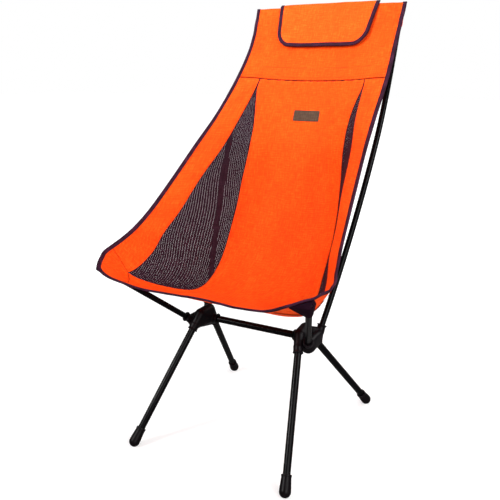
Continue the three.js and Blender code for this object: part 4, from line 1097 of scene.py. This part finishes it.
def plug_piece(name, tip, way):
    """The end plug: a rounded head against the tube's end, and a spigot inside it."""
    head, spigot = POLE_RADIUS, POLE_RADIUS - POLE_WALL - FIT_GAP
    crown = [(-0.0022 * (1 - math.sin(a)), head - 0.0022 + 0.0022 * math.cos(a)) for a in np.linspace(0, math.pi / 2, 8)]
    profile = [(-0.020, 0.0001), (-0.020, spigot - 0.0005), (-0.0195, spigot), (-PLUG_HEAD, spigot), (-PLUG_HEAD, head - 0.0003),
               (-PLUG_HEAD + 0.0003, head)] + crown + [(0, 0.0001)]
    profile = [(s + 0.020, r) for s, r in profile]
    return turn_along(name, np.array([tip - way * 0.020, tip]), profile, NYLON, 40)


right = {}
right["leg_front"] = leg_piece("leg_front_tube_right", FRONT_LEG)
right["leg_rear"] = leg_piece("leg_rear_tube_right", REAR_LEG)
right["foot_front"] = foot_piece("foot_front_moulding_right", FRONT_LEG)
right["foot_rear"] = foot_piece("foot_rear_moulding_right", REAR_LEG)
arm_start = ARM["mouth"] - ARM["way"] * ARM["insert"]
right["arm"] = tube("arm_tube_right", line_path(arm_start, ARM_TIP - ARM["way"] * (PLUG_HEAD + FIT_GAP)), POLE_RADIUS, POLE_WALL)
right["arm_plug"] = plug_piece("arm_end_right", ARM_TIP, ARM["way"])

lower = bow(POLE["mouth"], LOWER_MIDDLE, POLE_JOINT, np.linspace(0, 1, 49))
entry = unit(lower[1] - lower[0])
lower = np.concatenate([[lower[0] - entry * POLE["insert"]], lower])
lower[-1] -= JOINT_WAY * FIT_GAP / 2
upper = bow(POLE_JOINT, UPPER_MIDDLE, POLE_TIP, np.linspace(0, 1, 49))
tip_way = unit(upper[-1] - UPPER_MIDDLE)
upper[0] += JOINT_WAY * FIT_GAP / 2
upper[-1] -= tip_way * (PLUG_HEAD + FIT_GAP)
right["back_pole_lower"] = tube("back_pole_lower_tube_right", lower, POLE_RADIUS, POLE_WALL)
right["back_pole_upper"] = tube("back_pole_upper_tube_right", upper, POLE_RADIUS, POLE_WALL)
right["back_pole_plug"] = plug_piece("back_pole_end_right", POLE_TIP, tip_way)
right["side_band"] = side_band_right
right["side_mesh"] = side_mesh_right
right["corner_patch"] = corner_patch_right
right["hub"] = soften("hub_right", "hub_moulding_right", 0.95 * MM, 6, NYLON)
right["pocket_front"] = soften("pocket_front_right", "pocket_front_cloth_right", 1.1 * MM, 10, WEBBING)
right["pocket_back"] = soften("pocket_back_right", "pocket_back_cloth_right", 1.2 * MM, 10, ORANGE)

BODY_OF = {"leg_front": "leg_front", "foot_front": "leg_front", "leg_rear": "leg_rear", "foot_rear": "leg_rear"}
left = {key: mirror(obj, obj.name.replace("_right", "_left")) for key, obj in right.items()}
left_strips = [mirror(obj, obj.name.replace("_right", "_left")) for obj in right_strips]
for strip in (*right_strips, *left_strips, cross_seam_shade_strip):
    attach(strip, "chair")
for side, made in (("right", right), ("left", left)):
    for key, obj in made.items():
        body = f"{BODY_OF[key]}_{side}" if key in BODY_OF else "chair"
        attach(obj, body)
        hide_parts(f"{key}_{side}")

bar_end = HUB_HALF_SPACING - 0.043 + 0.028
crossbar = tube("crossbar_tube", line_path((-bar_end, BAR.y, BAR.z), (bar_end, BAR.y, BAR.z), 3), LEG_RADIUS, LEG_WALL)
for obj, node_name, slot, body in (
    (crossbar, "crossbar", "tube", "chair"),
    (top_panel, "top_panel", "fabric", "chair"),
    (centre_panel, "centre_panel", "fabric", "chair"),
    (edge_tape, "edge_binding", "tape", "chair"),
    (label, "label_patch", "label", "chair"),
    (flap_cloth, "headrest_flap", "fabric", "flap"),
    (flap_tape, "flap_binding", "tape", "flap"),
):
    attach(obj, body)
    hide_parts(node_name)
for obj, slot, body in (
    (panel_stitches, "fabric", "chair"), (tape_stitches, "tape", "chair"),
    (label_stitches, "label", "chair"), (flap_stitches, "tape", "flap"),
):
    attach(obj, body)

# The ferrules stay as the CAD has them, inside the poles, with the tube's finish
for side in ("left", "right"):
    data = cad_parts[f"back_pole_ferrule_{side}"].data
    data.materials.clear()
    data.materials.append(TUBE)


# Every sheet of cloth is declared with the size it was cut to: its widest and its longest line,
# measured along the surface above, and the area between its seams.


def flat_area(obj):
    """Half the piece's own surface, which for a thin sheet is the area of its cut."""
    mesh = obj.data
    return sum(p.area for p in mesh.polygons) / 2


SIZES = {}


def declare(obj, width, length):
    area = min(flat_area(obj), width * length)
    SIZES[obj.name] = (width, length, area)


declare(top_panel, 0.405, 0.205)
declare(centre_panel, 0.489, 0.831)
for side, made in (("right", right), ("left", left)):
    declare(made["side_band"], 0.077, 0.601)
    declare(made["side_mesh"], 0.176, 0.657)
    declare(made["corner_patch"], 0.098, 0.103)
declare(flap_cloth, 0.265, FLAP_LENGTH + 0.004)

# Studio: a pale floor, soft light, and a white background for the camera


def studio():
    bpy.ops.mesh.primitive_plane_add(size=40, location=(0, 0, -0.0002))
    floor = bpy.context.object
    floor.name = "studio_floor"
    material = bpy.data.materials.new("studio_floor")
    material.use_nodes = True
    tree = material.node_tree
    tree.nodes.clear()
    out = tree.nodes.new("ShaderNodeOutputMaterial")
    rays = tree.nodes.new("ShaderNodeLightPath")
    matte = node(tree, "ShaderNodeBsdfDiffuse")
    pale, dim = (0.6, 0.6, 0.6, 1), (0.15, 0.15, 0.15, 1)
    tree.links.new(mix_colour(tree, pale, dim, rays.outputs["Is Glossy Ray"]), matte.inputs["Color"])
    glow = tree.nodes.new("ShaderNodeEmission")
    glow.inputs["Color"].default_value = (1, 1, 1, 1)
    seen = math_node(tree, "MAXIMUM", rays.outputs["Is Camera Ray"], rays.outputs["Is Transmission Ray"])
    distance = node(tree, "ShaderNodeVectorMath", operation="LENGTH")
    tree.links.new(node(tree, "ShaderNodeTexCoord").outputs["Object"], distance.inputs[0])
    fade = node(tree, "ShaderNodeMapRange", interpolation_type="SMOOTHSTEP")
    for socket, value in (("From Min", 0.6), ("From Max", 1.8), ("To Min", 0.5), ("To Max", 0.95)):
        fade.inputs[socket].default_value = value
    tree.links.new(distance.outputs["Value"], fade.inputs["Value"])
    tree.links.new(math_node(tree, "MULTIPLY", seen, fade.outputs["Result"]), glow.inputs["Strength"])
    both = tree.nodes.new("ShaderNodeAddShader")
    tree.links.new(matte.outputs["BSDF"], both.inputs[0])
    tree.links.new(glow.outputs["Emission"], both.inputs[1])
    tree.links.new(both.outputs["Shader"], out.inputs["Surface"])
    floor.data.materials.append(material)

    world = bpy.data.worlds.new("studio")
    bpy.context.scene.world = world
    world.use_nodes = True
    tree = world.node_tree
    tree.nodes.clear()
    out = tree.nodes.new("ShaderNodeOutputWorld")
    rays = tree.nodes.new("ShaderNodeLightPath")
    seen = math_node(tree, "MAXIMUM", rays.outputs["Is Camera Ray"], rays.outputs["Is Transmission Ray"])
    background = tree.nodes.new("ShaderNodeBackground")
    background.inputs["Color"].default_value = (1, 1, 1, 1)
    less = math_node(tree, "SUBTRACT", 0.5, math_node(tree, "MULTIPLY", rays.outputs["Is Glossy Ray"], 0.38))
    strength = math_node(tree, "MAXIMUM", less, seen)
    tree.links.new(strength, background.inputs["Strength"])
    tree.links.new(background.outputs["Background"], out.inputs["Surface"])

    for name, place, size, power, target, spread in (
        ("key", (-1.2, -1.9, 1.5), 0.5, 31, (0, 0, 0.6), 180),
        ("fill", (1.9, -1.5, 1.2), 1.6, 32, (0, 0, 0.45), 180),
        ("top", (0.3, 0.5, 2.4), 1.4, 14, (0, -0.1, 0.4), 180),
        ("rim", (0.9, 2.1, 1.5), 1.2, 8, (0, 0, 0.5), 180),
        ("head", (-0.7, -0.9, 1.9), 0.35, 2.2, (0, 0.35, 0.95), 50),
        ("side", (1.7, -0.3, 1.5), 0.8, 2.2, (-0.25, -0.1, 0.5), 60),
    ):
        lamp = bpy.data.lights.new(name, "AREA")
        lamp.energy = power
        lamp.shape = "DISK"
        lamp.size = size
        lamp.spread = math.radians(spread)
        made = bpy.data.objects.new(name, lamp)
        made.location = place
        made.rotation_mode = "QUATERNION"
        made.rotation_quaternion = (Vector(target) - Vector(place)).to_track_quat("-Z", "Y")
        bpy.context.scene.collection.objects.link(made)


studio()
bpy.context.scene.view_settings.view_transform = "Standard"
